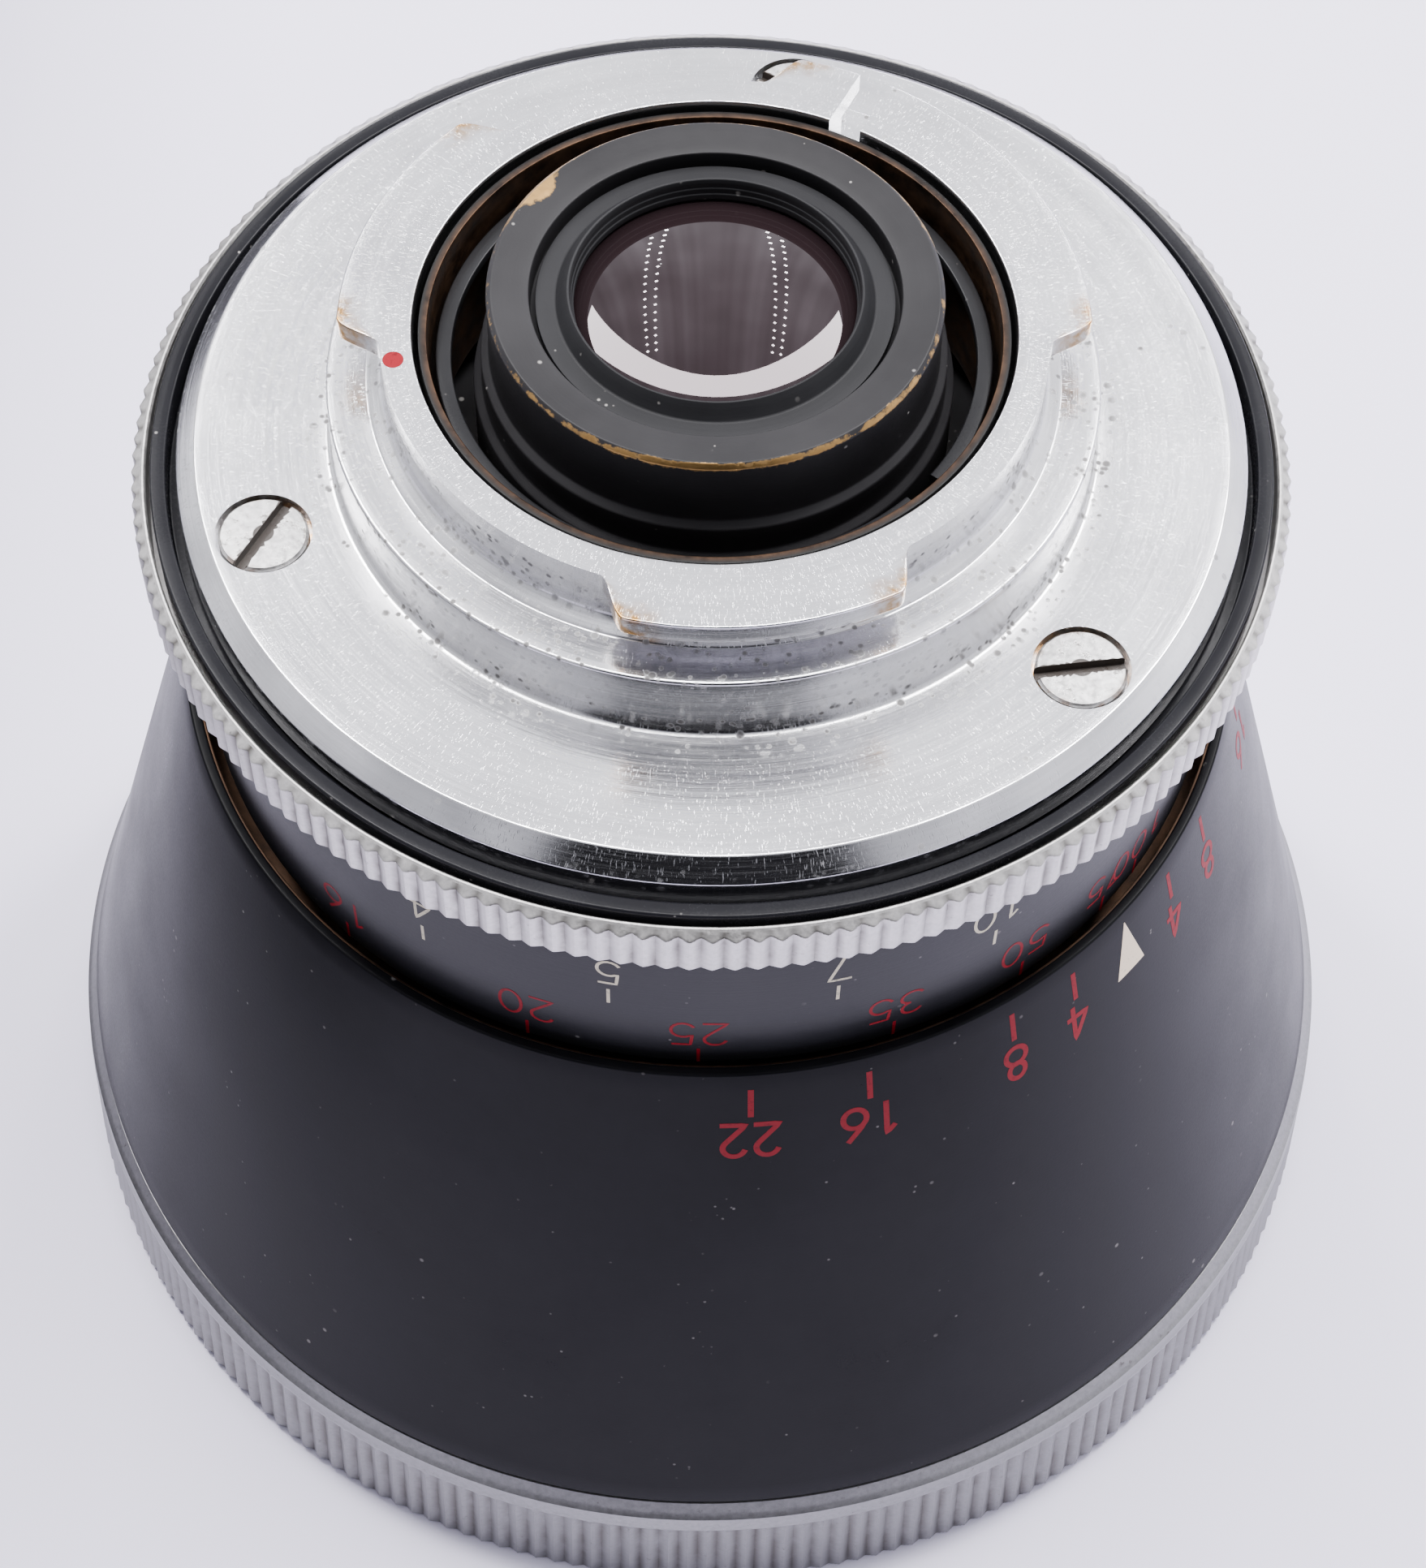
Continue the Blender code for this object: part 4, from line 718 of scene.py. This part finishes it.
def make_clip():
    """Split ring: a rounded rectangle carried along an arc that stops short of a full turn."""
    wall, gap_middle, gap_half, columns = 0.9, -40.0, 4.0, 300
    section = rounded(ring_profile("baffle_clip", wall), 0.1)
    turn = np.radians(np.linspace(gap_middle + gap_half, gap_middle + 360 - gap_half, columns))
    r, a = np.meshgrid(section[:, 0], turn, indexing="ij")
    z = np.repeat(section[:, 1][:, None], columns, 1)
    points = np.stack([r * np.cos(a), r * np.sin(a), z], -1).reshape(-1, 3)
    rows = len(section)
    ends = [np.arange(rows)[None, ::-1] * columns, np.arange(rows)[None] * columns + columns - 1]
    faces = [grid_faces(rows, columns, True, False), *ends]
    fit(build_mesh("split_clip", points, faces, CLIP_STEEL), "mount", "baffle_clip")


# --- Knurled rings --------------------------------------------------------------------------------
def groove_share(degrees, teeth, flat=0.0):
    """Triangle wave along a ring: 1 at the bottom of each V and 0 on its crest, which flat widens."""
    ramp = np.abs((degrees * teeth / 360.0) % 1.0 * 2 - 1)
    return np.clip(ramp * (1 + flat) - flat, 0, 1)


def make_focus_grip():
    """Ring with r = min(profile, GRIP_RADIUS - depth * groove), so its chamfers end the crests."""
    depth, teeth, flat = 0.27, 172, 0.12
    bore, nut_bore = HOUSING_RADIUS + 0.28, 27.8
    web_top, foot = GRIP_BOTTOM + 1.03, GRIP_BOTTOM + 0.01
    knurled_from = GRIP_RADIUS - 2 * depth

    def radial(r, z, a):
        grooved = np.minimum(r, GRIP_RADIUS - depth * groove_share(a, teeth, flat))
        return np.where(r > knurled_from, grooved, r), z

    def marks(r, z, a):
        return {"groove": groove_share(a, teeth, flat) * (r > knurled_from)}

    slope = stretch(0.06, (bore + 0.22, GRIP_TOP), (GRIP_RADIUS, GRIP_TOP - 0.42))
    chamfer = stretch(0.06, (GRIP_RADIUS, GRIP_BOTTOM + 0.22), (GRIP_RADIUS - 0.5, foot))
    wall = stretch(0.5, slope[-1], chamfer[0])[1:-1]
    inner = stretch(
        1.2, (GRIP_RADIUS - 1.0, foot), (nut_bore, foot), (nut_bore, web_top), (bore, web_top),
        (bore, GRIP_TOP - 0.12), (bore + 0.12, GRIP_TOP),
    )
    shape = np.concatenate([slope, wall, chamfer, inner])
    grip = revolve("knurled_focus_grip", shape, GRIP_SILVER, teeth * 8, radial, marks, sharp=25)
    fit(grip, "focus", "focus_ring")


def make_front_ring():
    """Knurled below a smooth land; the ring widens a little towards the rim that it stands on.

    A crest is at wide - taper * (z - foot), and r = min(profile, crest - depth * groove).
    """
    depth, teeth = 0.34, 218
    wide, foot, land = FRONT_RING_RADIUS - SKIN, 0.75, FRONT_RING_TOP - 2.35
    bore, flange_bore, flange_bottom = 42.55, 40.4, 9.85
    taper = 0.55 / (land - foot)
    knurled_from = wide - 1.6

    def radial(r, z, a):
        crest = wide - taper * np.clip(z - foot, 0, None)
        grooved = crest - depth * groove_share(a, teeth) * wave((land - 0.2 - z) / 0.35)
        return np.where(r > knurled_from, np.minimum(r, grooved), r), z

    def marks(r, z, a):
        return {"groove": groove_share(a, teeth) * (r > knurled_from) * wave((land - z) / 0.4)}

    inner = [
        (bore + 0.4, 0.0), (bore, 0.4), (bore, flange_bottom),
        (flange_bore, flange_bottom), (flange_bore, FRONT_RING_TOP),
    ]
    shape = np.concatenate([
        stretch(0.3, (CONE_FOOT_RADIUS - SKIN, FRONT_RING_TOP), (wide - 0.95, FRONT_RING_TOP - 0.75)),
        [(wide - 0.7, FRONT_RING_TOP - 1.0), (wide - 0.6, land + 0.15), (wide - 0.53, land)],
        stretch(0.09, (wide - 0.53, land - 0.05), (wide - 0.48, land - 0.7)),
        stretch(0.8, (wide - 0.45, land - 1.0), (wide, foot)),
        stretch(0.1, (wide, 0.55), (wide - 0.5, 0.0)),
        stretch(1.5, *rounded(inner, 0.12, closed=False)),
    ])
    ring = revolve("knurled_front_ring", shape, SHADED_FRONT_SILVER, teeth * 6, radial, marks, sharp=25)
    fit(ring, "aperture", "aperture_ring")


# --- Distance scale, cone and barrels -------------------------------------------------------------
def make_scale_ring():
    """A plain sleeve with rounded edges, carried round."""
    turned_piece(
        "distance_sleeve", "distance_scale_ring", "focus",
        ring_profile("distance_scale_ring", 1.42), SCALE_GREY, 0.15,
    )


def on_cone(z):
    """Radius of the cone's outside: a straight line from its top to its foot."""
    share = (CONE_TOP - z) / (CONE_TOP - CONE_FOOT)
    return CONE_TOP_RADIUS + (CONE_FOOT_RADIUS - CONE_TOP_RADIUS) * share


def make_cone():
    """A cone of even wall below a straight mouth, and the mouth's thin brown lining, carried round."""
    wall, mouth_radius, mouth = 1.38, 32.78, CONE_TOP - 4.6
    outer = [(CONE_TOP_RADIUS, CONE_TOP), (CONE_FOOT_RADIUS, CONE_FOOT)]
    inner = [
        (CONE_FOOT_RADIUS - wall, CONE_FOOT), (on_cone(mouth) - wall, mouth),
        (mouth_radius, mouth), (mouth_radius, CONE_TOP),
    ]
    turned_piece("black_cone", "cone_shell", "front", outer + inner, CONE_BLACK, 0.14)
    top, bottom, outside, inside = CONE_TOP - 0.18, mouth + 0.1, mouth_radius + 0.01, mouth_radius - 0.16
    profile = [(outside, top), (outside, bottom), (inside, bottom), (inside, top)]
    lining = revolve("cone_mouth_lining", refined(rounded(profile, 0.05), 1.0), MOUTH_BROWN)
    fit(lining, "front")


def rear_barrel_marks(r, z, a):
    """Paint gone from the rim's outer edge, most at the near side, and in one patch at the far left."""
    edge = np.exp(-(((r - REAR_RIM_RADIUS) / 0.30) ** 2) - ((z - REAR_RIM) / 0.45) ** 2)
    side = 0.80 + 0.22 * np.cos(2 * np.radians(a + 85))
    patch = np.exp(-((angle_between(a, 146) / 6.5) ** 2) - ((r - 12.4) / 0.75) ** 2)
    return {"wear": np.clip(edge * side + 1.1 * patch * (z > REAR_RIM - 0.5), 0, 1)}


def make_rear_barrel():
    """Rim, waist, two steps, flange and spigot outside; tube and recess for the glass inside."""
    flange_top, flange_thickness, spigot = FLANGE_BOTTOM - 2.7, 1.5, 12.48
    flange_radius, bottom = radius_of("rear_barrel") - SKIN, bottom_of("rear_barrel")
    collar, foot = REAR_RIM_RADIUS + 0.5, REAR_RIM_RADIUS + 0.99
    tube, recess, recess_floor = 9.32, 10.47, REAR_RIM - 1.8
    profile = [
        (REAR_RIM_RADIUS - 0.28, REAR_RIM - 0.01),
        (REAR_RIM_RADIUS, REAR_RIM - 0.3),
        (REAR_RIM_RADIUS, REAR_RIM - 4.65),
        (collar, REAR_RIM - 4.95),
        (collar, REAR_RIM - 6.9),
        (foot, REAR_RIM - 7.2),
        (foot, flange_top),
        (flange_radius, flange_top),
        (flange_radius, flange_top - flange_thickness),
        (spigot, flange_top - flange_thickness),
        (spigot, bottom),
        (tube, bottom),
        (tube, recess_floor),
        (recess, recess_floor),
        (recess, REAR_RIM - 0.3),
    ]
    turned_piece(
        "rear_barrel_turned", "rear_barrel", "front",
        profile, BARREL_BLACK, 0.1, 0.7, rear_barrel_marks, 360,
    )


def make_rear_retainer():
    """Flat ring with a lip round the glass; inside the lip, three fine steps go down to the glass."""
    outer, aperture = radius_of("rear_retaining_ring") - SKIN, 7.97
    flat, bottom = REAR_RIM - 1.0, bottom_of("rear_retaining_ring") + 0.01
    steps = [(0.0, 1.1), (0.09, 1.05), (0.09, 0.72), (0.17, 0.67), (0.17, 0.36), (0.24, 0.12), (0.36, 0.08)]
    profile = [
        (outer, flat),
        (outer, bottom),
        (aperture, bottom),
        *((aperture + out, REAR_RIM - down) for out, down in steps),
        (aperture + 1.0, flat + 0.05),
        (aperture + 1.12, flat),
    ]
    turned_piece(
        "rear_retainer_turned", "rear_retaining_ring", "front",
        profile, MATTE_BLACK, 0.05, 0.6, columns=300,
    )


def lens_profile(radius, low_edge, high_edge, low_sag, high_sag, steps=28):
    """Both faces are arcs of circles through the edge and the pole; a sag below 0 is a hollow face."""

    def face(edge, sag):
        r = radius * np.linspace(0, 1, steps)
        curve = (radius**2 + sag**2) / (2 * abs(sag))
        rise = np.sqrt(curve**2 - r**2) - (curve - abs(sag))
        return np.column_stack([r, edge + np.sign(sag) * rise])

    return np.concatenate([face(high_edge, high_sag), face(low_edge, -low_sag)[::-1]])


def make_glass(name, node, look, profile):
    """A glass from its profile, which starts and ends on the axis, carried round."""
    fit(domed_disc(name, profile, look, 192, sharp=50), "front", node)


def make_rear_glass():
    """Domed towards the rear and slightly hollow inside."""
    radius, thickness, edge = 8.98, 3.0, REAR_RIM - 2.1
    profile = lens_profile(radius, edge - thickness, edge, -0.4, 2.03)
    make_glass("rear_glass_domed", "rear_element", REAR_GLASS, profile)


# --- Front face -----------------------------------------------------------------------------------
def make_front_face():
    """Front glass with a parabola on each side, z = edge - rise * (1 - (r / radius)^2), ring and bezel."""
    radius, rise, low_edge = 35.48, 7.28, 13.5
    bowl_radius, bowl_depth, high_edge = 29.0, 13.35, 23.0
    share = np.linspace(0, 1, 40)
    face = np.column_stack([radius * share, low_edge - rise * (1 - share**2)])
    bowl = np.column_stack([bowl_radius * share, high_edge - bowl_depth * (1 - share**2)])
    profile = np.concatenate([bowl, [(radius, high_edge)], face[::-1]])
    make_glass("front_glass_domed", "front_element", FRONT_GLASS, profile)
    outer, wall, inner = radius_of("front_bezel"), 1.0, 33.82
    rim, thread_start, floor, top = 1.0, 1.3, 7.4, 9.1
    pitch, thread_depth, ridges = 0.35, 0.22, 12
    threads = [(outer - wall + thread_depth * (k % 2), thread_start + pitch * k) for k in range(ridges)]
    profile = [
        (outer, top), (outer, rim), (outer - wall, rim), *threads,
        (outer - wall, floor), (inner, floor), (inner, top),
    ]
    turned_piece("threaded_bezel", "front_bezel", "front", profile, MATTE_BLACK, 0.08, 2.0)
    turned_piece(
        "front_retainer", "front_retaining_ring", "front",
        ring_profile("front_retaining_ring", 2.08), MATTE_BLACK, 0.1,
    )


# --- Figures --------------------------------------------------------------------------------------
def arc_points(x, y, rx, ry, start, end, count=14):
    """Points along an ellipse about (x, y), from one angle to another."""
    t = np.radians(np.linspace(start, end, count))
    return np.column_stack([x + rx * np.cos(t), y + ry * np.sin(t)])


def line_points(*corners):
    """Points along straight strokes from corner to corner."""
    return stretch(0.12, *corners)


def joined(*paths):
    """Paths end to end, as one stroke."""
    return np.concatenate(paths)


# Strokes of each digit in a cell 0.56 wide and 1 high, as a pantograph engraves them
DIGITS = {
    "0": [arc_points(0.28, 0.5, 0.27, 0.5, 90, 450, 30)],
    "1": [line_points((0.12, 0.8), (0.3, 1.0), (0.3, 0.0))],
    "2": [joined(
        arc_points(0.28, 0.74, 0.26, 0.26, 160, -40), line_points((0.42, 0.5), (0.0, 0.0), (0.56, 0.0))
    )],
    "3": [joined(arc_points(0.26, 0.75, 0.25, 0.25, 150, -80), arc_points(0.27, 0.26, 0.28, 0.26, 85, -150))],
    "4": [line_points((0.42, 0.0), (0.42, 1.0), (0.0, 0.3), (0.58, 0.3))],
    "5": [joined(
        line_points((0.5, 1.0), (0.08, 1.0), (0.04, 0.56)), arc_points(0.26, 0.32, 0.28, 0.32, 125, -150)
    )],
    "6": [joined(line_points((0.44, 1.0), (0.14, 0.62)), arc_points(0.28, 0.3, 0.28, 0.3, 160, 510, 26))],
    "7": [line_points((0.0, 1.0), (0.54, 1.0), (0.2, 0.0))],
    "8": [arc_points(0.28, 0.76, 0.22, 0.24, 90, 450, 24), arc_points(0.28, 0.27, 0.28, 0.27, 90, 450, 26)],
}
INFINITY = [arc_points(0.3, 0.5, 0.3, 0.27, 10, 350, 24), arc_points(0.88, 0.5, 0.3, 0.27, 170, -170, 24)]


def figure_strokes(text, height):
    """Strokes of a number centred on 0 across, its foot at 0, in millimetres."""
    if text == "inf":
        return [(stroke - (0.59, 0)) * height for stroke in INFINITY]
    pitch = 0.78
    width = pitch * (len(text) - 1) + 0.56
    strokes = []
    for index, digit in enumerate(text):
        strokes += [(stroke + (index * pitch - width / 2, 0)) * height for stroke in DIGITS[digit]]
    return strokes


def ribbon(path, width):
    """Edges of a band of that width along a path in the plane, one pair of points per path point."""
    along = np.gradient(path, axis=0)
    along /= np.linalg.norm(along, axis=1)[:, None] + 1e-9
    side = np.column_stack([-along[:, 1], along[:, 0]]) * width / 2
    ends = np.zeros(len(path))
    ends[0], ends[-1] = -width / 2, width / 2
    path = path + along * ends[:, None] * 0.6
    return path + side, path - side


def wrapped(flat, angle, foot, radius_at, proud):
    """Flat points laid on a turned surface: across becomes a turn of x / radius, up goes to the front."""
    z = foot - flat[:, 1]
    r = radius_at(z) + proud
    turn = np.radians(angle) - flat[:, 0] / radius_at(z)
    return np.column_stack([r * np.cos(turn), r * np.sin(turn), z])


def marks_mesh(name, strokes, width, radius_at, look, body):
    """Closed bands for (path, angle, foot) strokes: top just proud of the surface, sides into it."""
    points, faces, count = [], [], 0
    proud, sunk = 0.012, -0.03
    for path, angle, foot in strokes:
        left, right = ribbon(path, width)
        edges = ((left, proud), (right, proud), (right, sunk), (left, sunk))
        points += [wrapped(edge, angle, foot, radius_at, out) for edge, out in edges]
        length = len(path)
        faces.append(grid_faces(4, length, True, False) + count)
        faces.append(np.array([[0, 1, 2, 3]]) * length + count)
        faces.append(np.array([[3, 2, 1, 0]]) * length + length - 1 + count)
        count += 4 * length
    fit(build_mesh(name, np.concatenate(points), faces, look), body)


INFINITY_MARK = -16.6  # both distance scales share it
RED_SPREAD, IVORY_SPREAD = 1836.0, 414.0  # degrees from the infinity mark, times the distance
INDEX_MARK = -40.5
STOP_SPREAD = 2.01  # degrees from the index per f-number


def make_distance_figures():
    """Figures and ticks on the sleeve, at the infinity mark less spread / distance, in two rows."""
    width, tick = 0.2, line_points((0, 0.0), (0, 1.45))
    red_texts = ("16", "20", "25", "35", "50", "75", "100", "inf")
    ivory_texts = ("2", "3", "4", "5", "7", "10", "inf")
    rows = (
        ("red", red_texts, RED_SPREAD, 1.5, 4.55, 2.5, RED),
        ("ivory", ivory_texts, IVORY_SPREAD, 7.6, 10.75, 2.4, IVORY),
    )
    for colour, texts, spread, tick_foot, foot, height, look in rows:
        strokes = []
        for text in texts:
            angle = INFINITY_MARK - (0 if text == "inf" else spread / float(text))
            if text != "inf" or colour == "ivory":
                strokes.append((tick, angle, SCALE_BOTTOM + tick_foot))
            strokes += [(stroke, angle, SCALE_BOTTOM + foot) for stroke in figure_strokes(text, height)]
        name, slot = f"{colour}_distance_figures", f"{colour}_enamel"
        marks_mesh(name, strokes, width, lambda z: np.full_like(z, SCALE_RADIUS), look, "focus")


def make_depth_figures():
    """Figures and ticks on the cone, on both sides of the index by STOP_SPREAD times the f-number."""
    tick = line_points((0, 0), (0, 2.0))
    tick_foot, foot = CONE_TOP - 1.35, CONE_TOP - 4.1
    strokes = []
    for stop in (4, 8, 16, 22):
        for angle in (INDEX_MARK - STOP_SPREAD * stop, INDEX_MARK + STOP_SPREAD * stop):
            strokes.append((tick, angle, tick_foot))
            strokes += [(stroke, angle, foot) for stroke in figure_strokes(str(stop), 2.6)]
    marks_mesh("red_depth_figures", strokes, 0.36, on_cone, RED, "front")


def make_index():
    """Ivory triangle on the cone, its point towards the distance scale: rows that widen downwards."""
    rows, columns = 16, 9
    height, half_tip, half_base, gap = 4.2, 0.03, 1.3, 0.9
    v, u = np.meshgrid(np.linspace(0, 1, rows), np.linspace(-1, 1, columns), indexing="ij")
    half = half_tip + (half_base - half_tip) * v
    flat = np.column_stack([(u * half).ravel(), (v * height).ravel()])
    top, under = (wrapped(flat, INDEX_MARK, CONE_TOP - gap, on_cone, out) for out in (0.015, -0.05))
    faces = grid_faces(rows, columns)
    count = rows * columns
    rim = np.concatenate([
        np.arange(columns), np.arange(1, rows) * columns + columns - 1,
        (rows - 1) * columns + np.arange(columns - 1)[::-1], np.arange(1, rows - 1)[::-1] * columns,
    ])
    after = np.roll(rim, -1)
    walls = np.column_stack([rim, after, after + count, rim + count])
    sides = [faces[:, ::-1], faces + count, walls]
    mark = build_mesh("ivory_index_mark", np.concatenate([top, under]), sides, PALE_IVORY)
    fit(mark, "front")


# --- CAD pieces that keep their shape -------------------------------------------------------------
def finish_inner_nodes():
    """Give each CAD piece that keeps its own mesh its material."""
    looks = {
        MOUTH_BROWN: ["helicoid_tube"],
        HELICOID_BRASS: ["focus_nut", "aperture_link", "iris_drive_ring"],
        SCREW_STEEL: ["travel_key", "key_screw", "link_screw", *(f"focus_pin_{n}" for n in range(1, 4))],
        MATTE_BLACK: [
            "lens_barrel", "front_cell", "second_retaining_ring", "rear_spacer", "middle_spacer",
            "inner_spacer", "iris_plate",
        ],
        FRONT_GLASS: ["second_element"],
        INNER_GLASS: ["third_element", "fourth_element", "fifth_element"],
        BLADE_STEEL: [f"iris_blade_{n}" for n in range(1, 7)],
    }
    for look, nodes in looks.items():
        for node in nodes:
            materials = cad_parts[node].data.materials
            materials.clear()
            materials.append(look)


# --- Studio ---------------------------------------------------------------------------------------
OPENING_HALF_WIDTH, OPENING_TOP = 0.60, 0.87  # sideways over forward, and the sine of the elevation
BACK_WALL, FRONT_WALL, CEILING, DIODE = 1.95, 0.80, 46.0, 110.0  # strength of each light
DARK_OPENING = (0.012, 0.012, 0.015)


def make_floor():
    """Flat pale table, one grid of quads."""
    size, count = 2500.0, 9
    line = np.linspace(-size, size, count)
    y, x = np.meshgrid(line, line, indexing="ij")
    points = np.column_stack([x.ravel(), y.ravel(), np.zeros(count * count)])
    g = Graph("pale_table")
    g.set(Base_Color=g.mix(g.noise(6, 3), (0.83, 0.795, 0.98), (0.86, 0.825, 1.0)), Roughness=0.6)
    build_mesh("table_top", points, [grid_faces(count, count)], g.material)


def make_world():
    """White tent, brighter behind the lens than in front, with a dark opening where the viewer stands.

    The opening is where |x| / -y is below OPENING_HALF_WIDTH and z below OPENING_TOP, on the side
    where y is below 0. The cloth's folds and upright panels vary the strength, and so does x.
    """
    world = bpy.data.worlds.new("white_tent")
    bpy.context.scene.world = world
    world.use_nodes = True
    tree = world.node_tree

    def node(kind, *inputs, **settings):
        made = tree.nodes.new(kind)
        for key, value in settings.items():
            setattr(made, key, value)
        for socket, value in zip(made.inputs, inputs):
            if isinstance(value, bpy.types.NodeSocket):
                tree.links.new(value, socket)
            else:
                socket.default_value = value
        return made.outputs[0]

    def math(operation, *inputs):
        return node("ShaderNodeMath", *inputs, operation=operation)

    def span(value, start, end, low_value=0.0, high_value=1.0):
        return node("ShaderNodeMapRange", value, start, end, low_value, high_value)

    def blend(amount, first, second):
        made = tree.nodes.new("ShaderNodeMix")
        made.data_type = "RGBA"
        tree.links.new(amount, made.inputs["Factor"])
        for socket, value in ((made.inputs[6], first), (made.inputs[7], second)):
            if isinstance(value, bpy.types.NodeSocket):
                tree.links.new(value, socket)
            else:
                socket.default_value = (*value, 1.0)
        return made.outputs[2]

    direction = tree.nodes.new("ShaderNodeTexCoord").outputs["Generated"]
    split = tree.nodes.new("ShaderNodeSeparateXYZ")
    tree.links.new(direction, split.inputs[0])
    x, y, z = split.outputs
    sideways = math("DIVIDE", math("ABSOLUTE", x), math("MULTIPLY", y, -1.0))
    facing = span(y, -0.02, -0.12)
    narrow = span(sideways, OPENING_HALF_WIDTH + 0.06, OPENING_HALF_WIDTH - 0.06)
    below = span(z, OPENING_TOP + 0.04, OPENING_TOP - 0.04)
    opening = math("MULTIPLY", math("MULTIPLY", facing, narrow), below)
    front = (FRONT_WALL, FRONT_WALL, FRONT_WALL * 1.10)
    back = (BACK_WALL, BACK_WALL, BACK_WALL * 1.06)
    tent = blend(opening, blend(span(y, -0.6, 0.5), front, back), DARK_OPENING)
    uneven = span(node("ShaderNodeTexNoise", direction, 0.0, 2.4, 2.0), 0.35, 0.65, 0.72, 1.22)
    across = node("ShaderNodeCombineXYZ", x, 0.0, 0.0)
    stripes = span(node("ShaderNodeTexNoise", across, 0.0, 9.0, 2.0), 0.35, 0.65, 0.72, 1.32)
    strength = math("ADD", math("MULTIPLY", uneven, stripes), math("MULTIPLY", x, 0.3))
    background = tree.nodes["Background"]
    tree.links.new(tent, background.inputs["Color"])
    tree.links.new(strength, background.inputs["Strength"])


def light_only(obj):
    """Studio piece that lights, shades and reflects but stays out of the picture, as a lamp does."""
    obj.visible_camera = False


def make_dark_card():
    """Upright black card beside the lens, beyond the left edge of the picture, as one grid."""
    place, near, far, low_edge, height, rows, columns = -84.0, -75.0, 150.0, 0.5, 66.0, 5, 3
    y, z = np.meshgrid(np.linspace(near, far, rows), np.linspace(low_edge, height, columns), indexing="ij")
    points = np.column_stack([np.full(y.size, place), y.ravel(), z.ravel()])
    g = Graph("black_card")
    g.set(Base_Color=(0.012, 0.012, 0.014, 1.0), Roughness=0.9)
    light_only(build_mesh("dark_card", points, [grid_faces(rows, columns)], g.material))


def glowing(name, strength):
    """Black material that gives off an even white light."""
    g = Graph(name)
    g.set(Base_Color=(0.0, 0.0, 0.0, 1.0), Emission_Color=(1.0, 0.99, 1.0, 1.0), Emission_Strength=strength)
    return g.material


def make_ceiling_light():
    """Bright crescent in the tent's roof, from y = x^2 to y = 0.11 + 1.44 x^2, times its height."""
    height, half_width, width, widening, columns = 500.0, 0.74, 0.11, 0.44, 31
    x, share = np.meshgrid(np.linspace(-half_width, half_width, columns), (0.0, 1.0), indexing="ij")
    y = x**2 + share * (width + widening * x**2)
    points = np.column_stack([x.ravel(), y.ravel(), np.ones(x.size)]) * height
    light_only(build_mesh("roof_light", points, [grid_faces(columns, 2)], glowing("roof_light", CEILING)))


def make_diode_strips():
    """Four upright strips of small square lamps behind the lens.

    Each strip runs straight from its low end to its high end, is brought to the same distance from
    the rear glass, and its squares face the glass.
    """
    reach, size, count, shift = 1000.0, 6.0, 20, (0.022, 0.0, 0.0)
    low_end, high_end = np.array([0.165, 0.95, 0.22]), np.array([0.30, 0.30, 0.88])
    share = np.linspace(0, 1, count)[:, None]
    arc = (1 - share) * low_end + share * high_end
    away = np.concatenate([
        arc * (mirror, 1, 1) + np.multiply(shift, sign) for mirror in (-1, 1) for sign in (-1, 1)
    ])
    away /= np.linalg.norm(away, axis=1)[:, None]
    side = np.column_stack([away[:, 1], -away[:, 0], np.zeros(len(away))])
    side /= np.linalg.norm(side, axis=1)[:, None]
    up = np.cross(side, away)
    corners = [away * reach + size * (u * side + v * up) for u, v in ((-1, -1), (1, -1), (1, 1), (-1, 1))]
    points = np.stack(corners, 1).reshape(-1, 3) + (0, 0, REAR_RIM)
    faces = np.arange(len(points)).reshape(-1, 4)
    light_only(build_mesh("diode_strips", points, [faces], glowing("diodes", DIODE)))


def make_camera():
    """Camera above the near side, looking down on the mount."""
    elevation, roll = np.radians(57.05), np.radians(1.28)
    distance, aim_below_face = 0.2194, 48.32
    away = np.array([0.0, -np.cos(elevation), np.sin(elevation)])
    up = np.array([0.0, np.sin(elevation), np.cos(elevation)])
    side = np.array([1.0, 0.0, 0.0])
    right = side * np.cos(roll) + up * np.sin(roll)
    top = -side * np.sin(roll) + up * np.cos(roll)
    place = away * distance + (0.0, 0.0, (BAYONET_FACE - aim_below_face) * MM)
    data = bpy.data.cameras.new("camera")
    data.lens, data.sensor_width, data.clip_start, data.shift_x = 72.5, 36.0, 0.01, 0.0053
    camera = bpy.data.objects.new("camera", data)
    bpy.context.scene.collection.objects.link(camera)
    turned = np.column_stack([right, top, away, place])
    camera.matrix_world = Matrix([*turned.tolist(), [0, 0, 0, 1]])
    bpy.context.scene.camera = camera


make_camera()
make_bayonet()
make_mount_screws()
make_index_dot()
make_housing()
make_baffle()
make_clip()
make_focus_grip()
make_front_ring()
make_scale_ring()
make_cone()
make_rear_barrel()
make_rear_retainer()
make_rear_glass()
make_front_face()
make_distance_figures()
make_depth_figures()
make_index()
finish_inner_nodes()
make_floor()
make_world()
make_ceiling_light()
make_diode_strips()
make_dark_card()
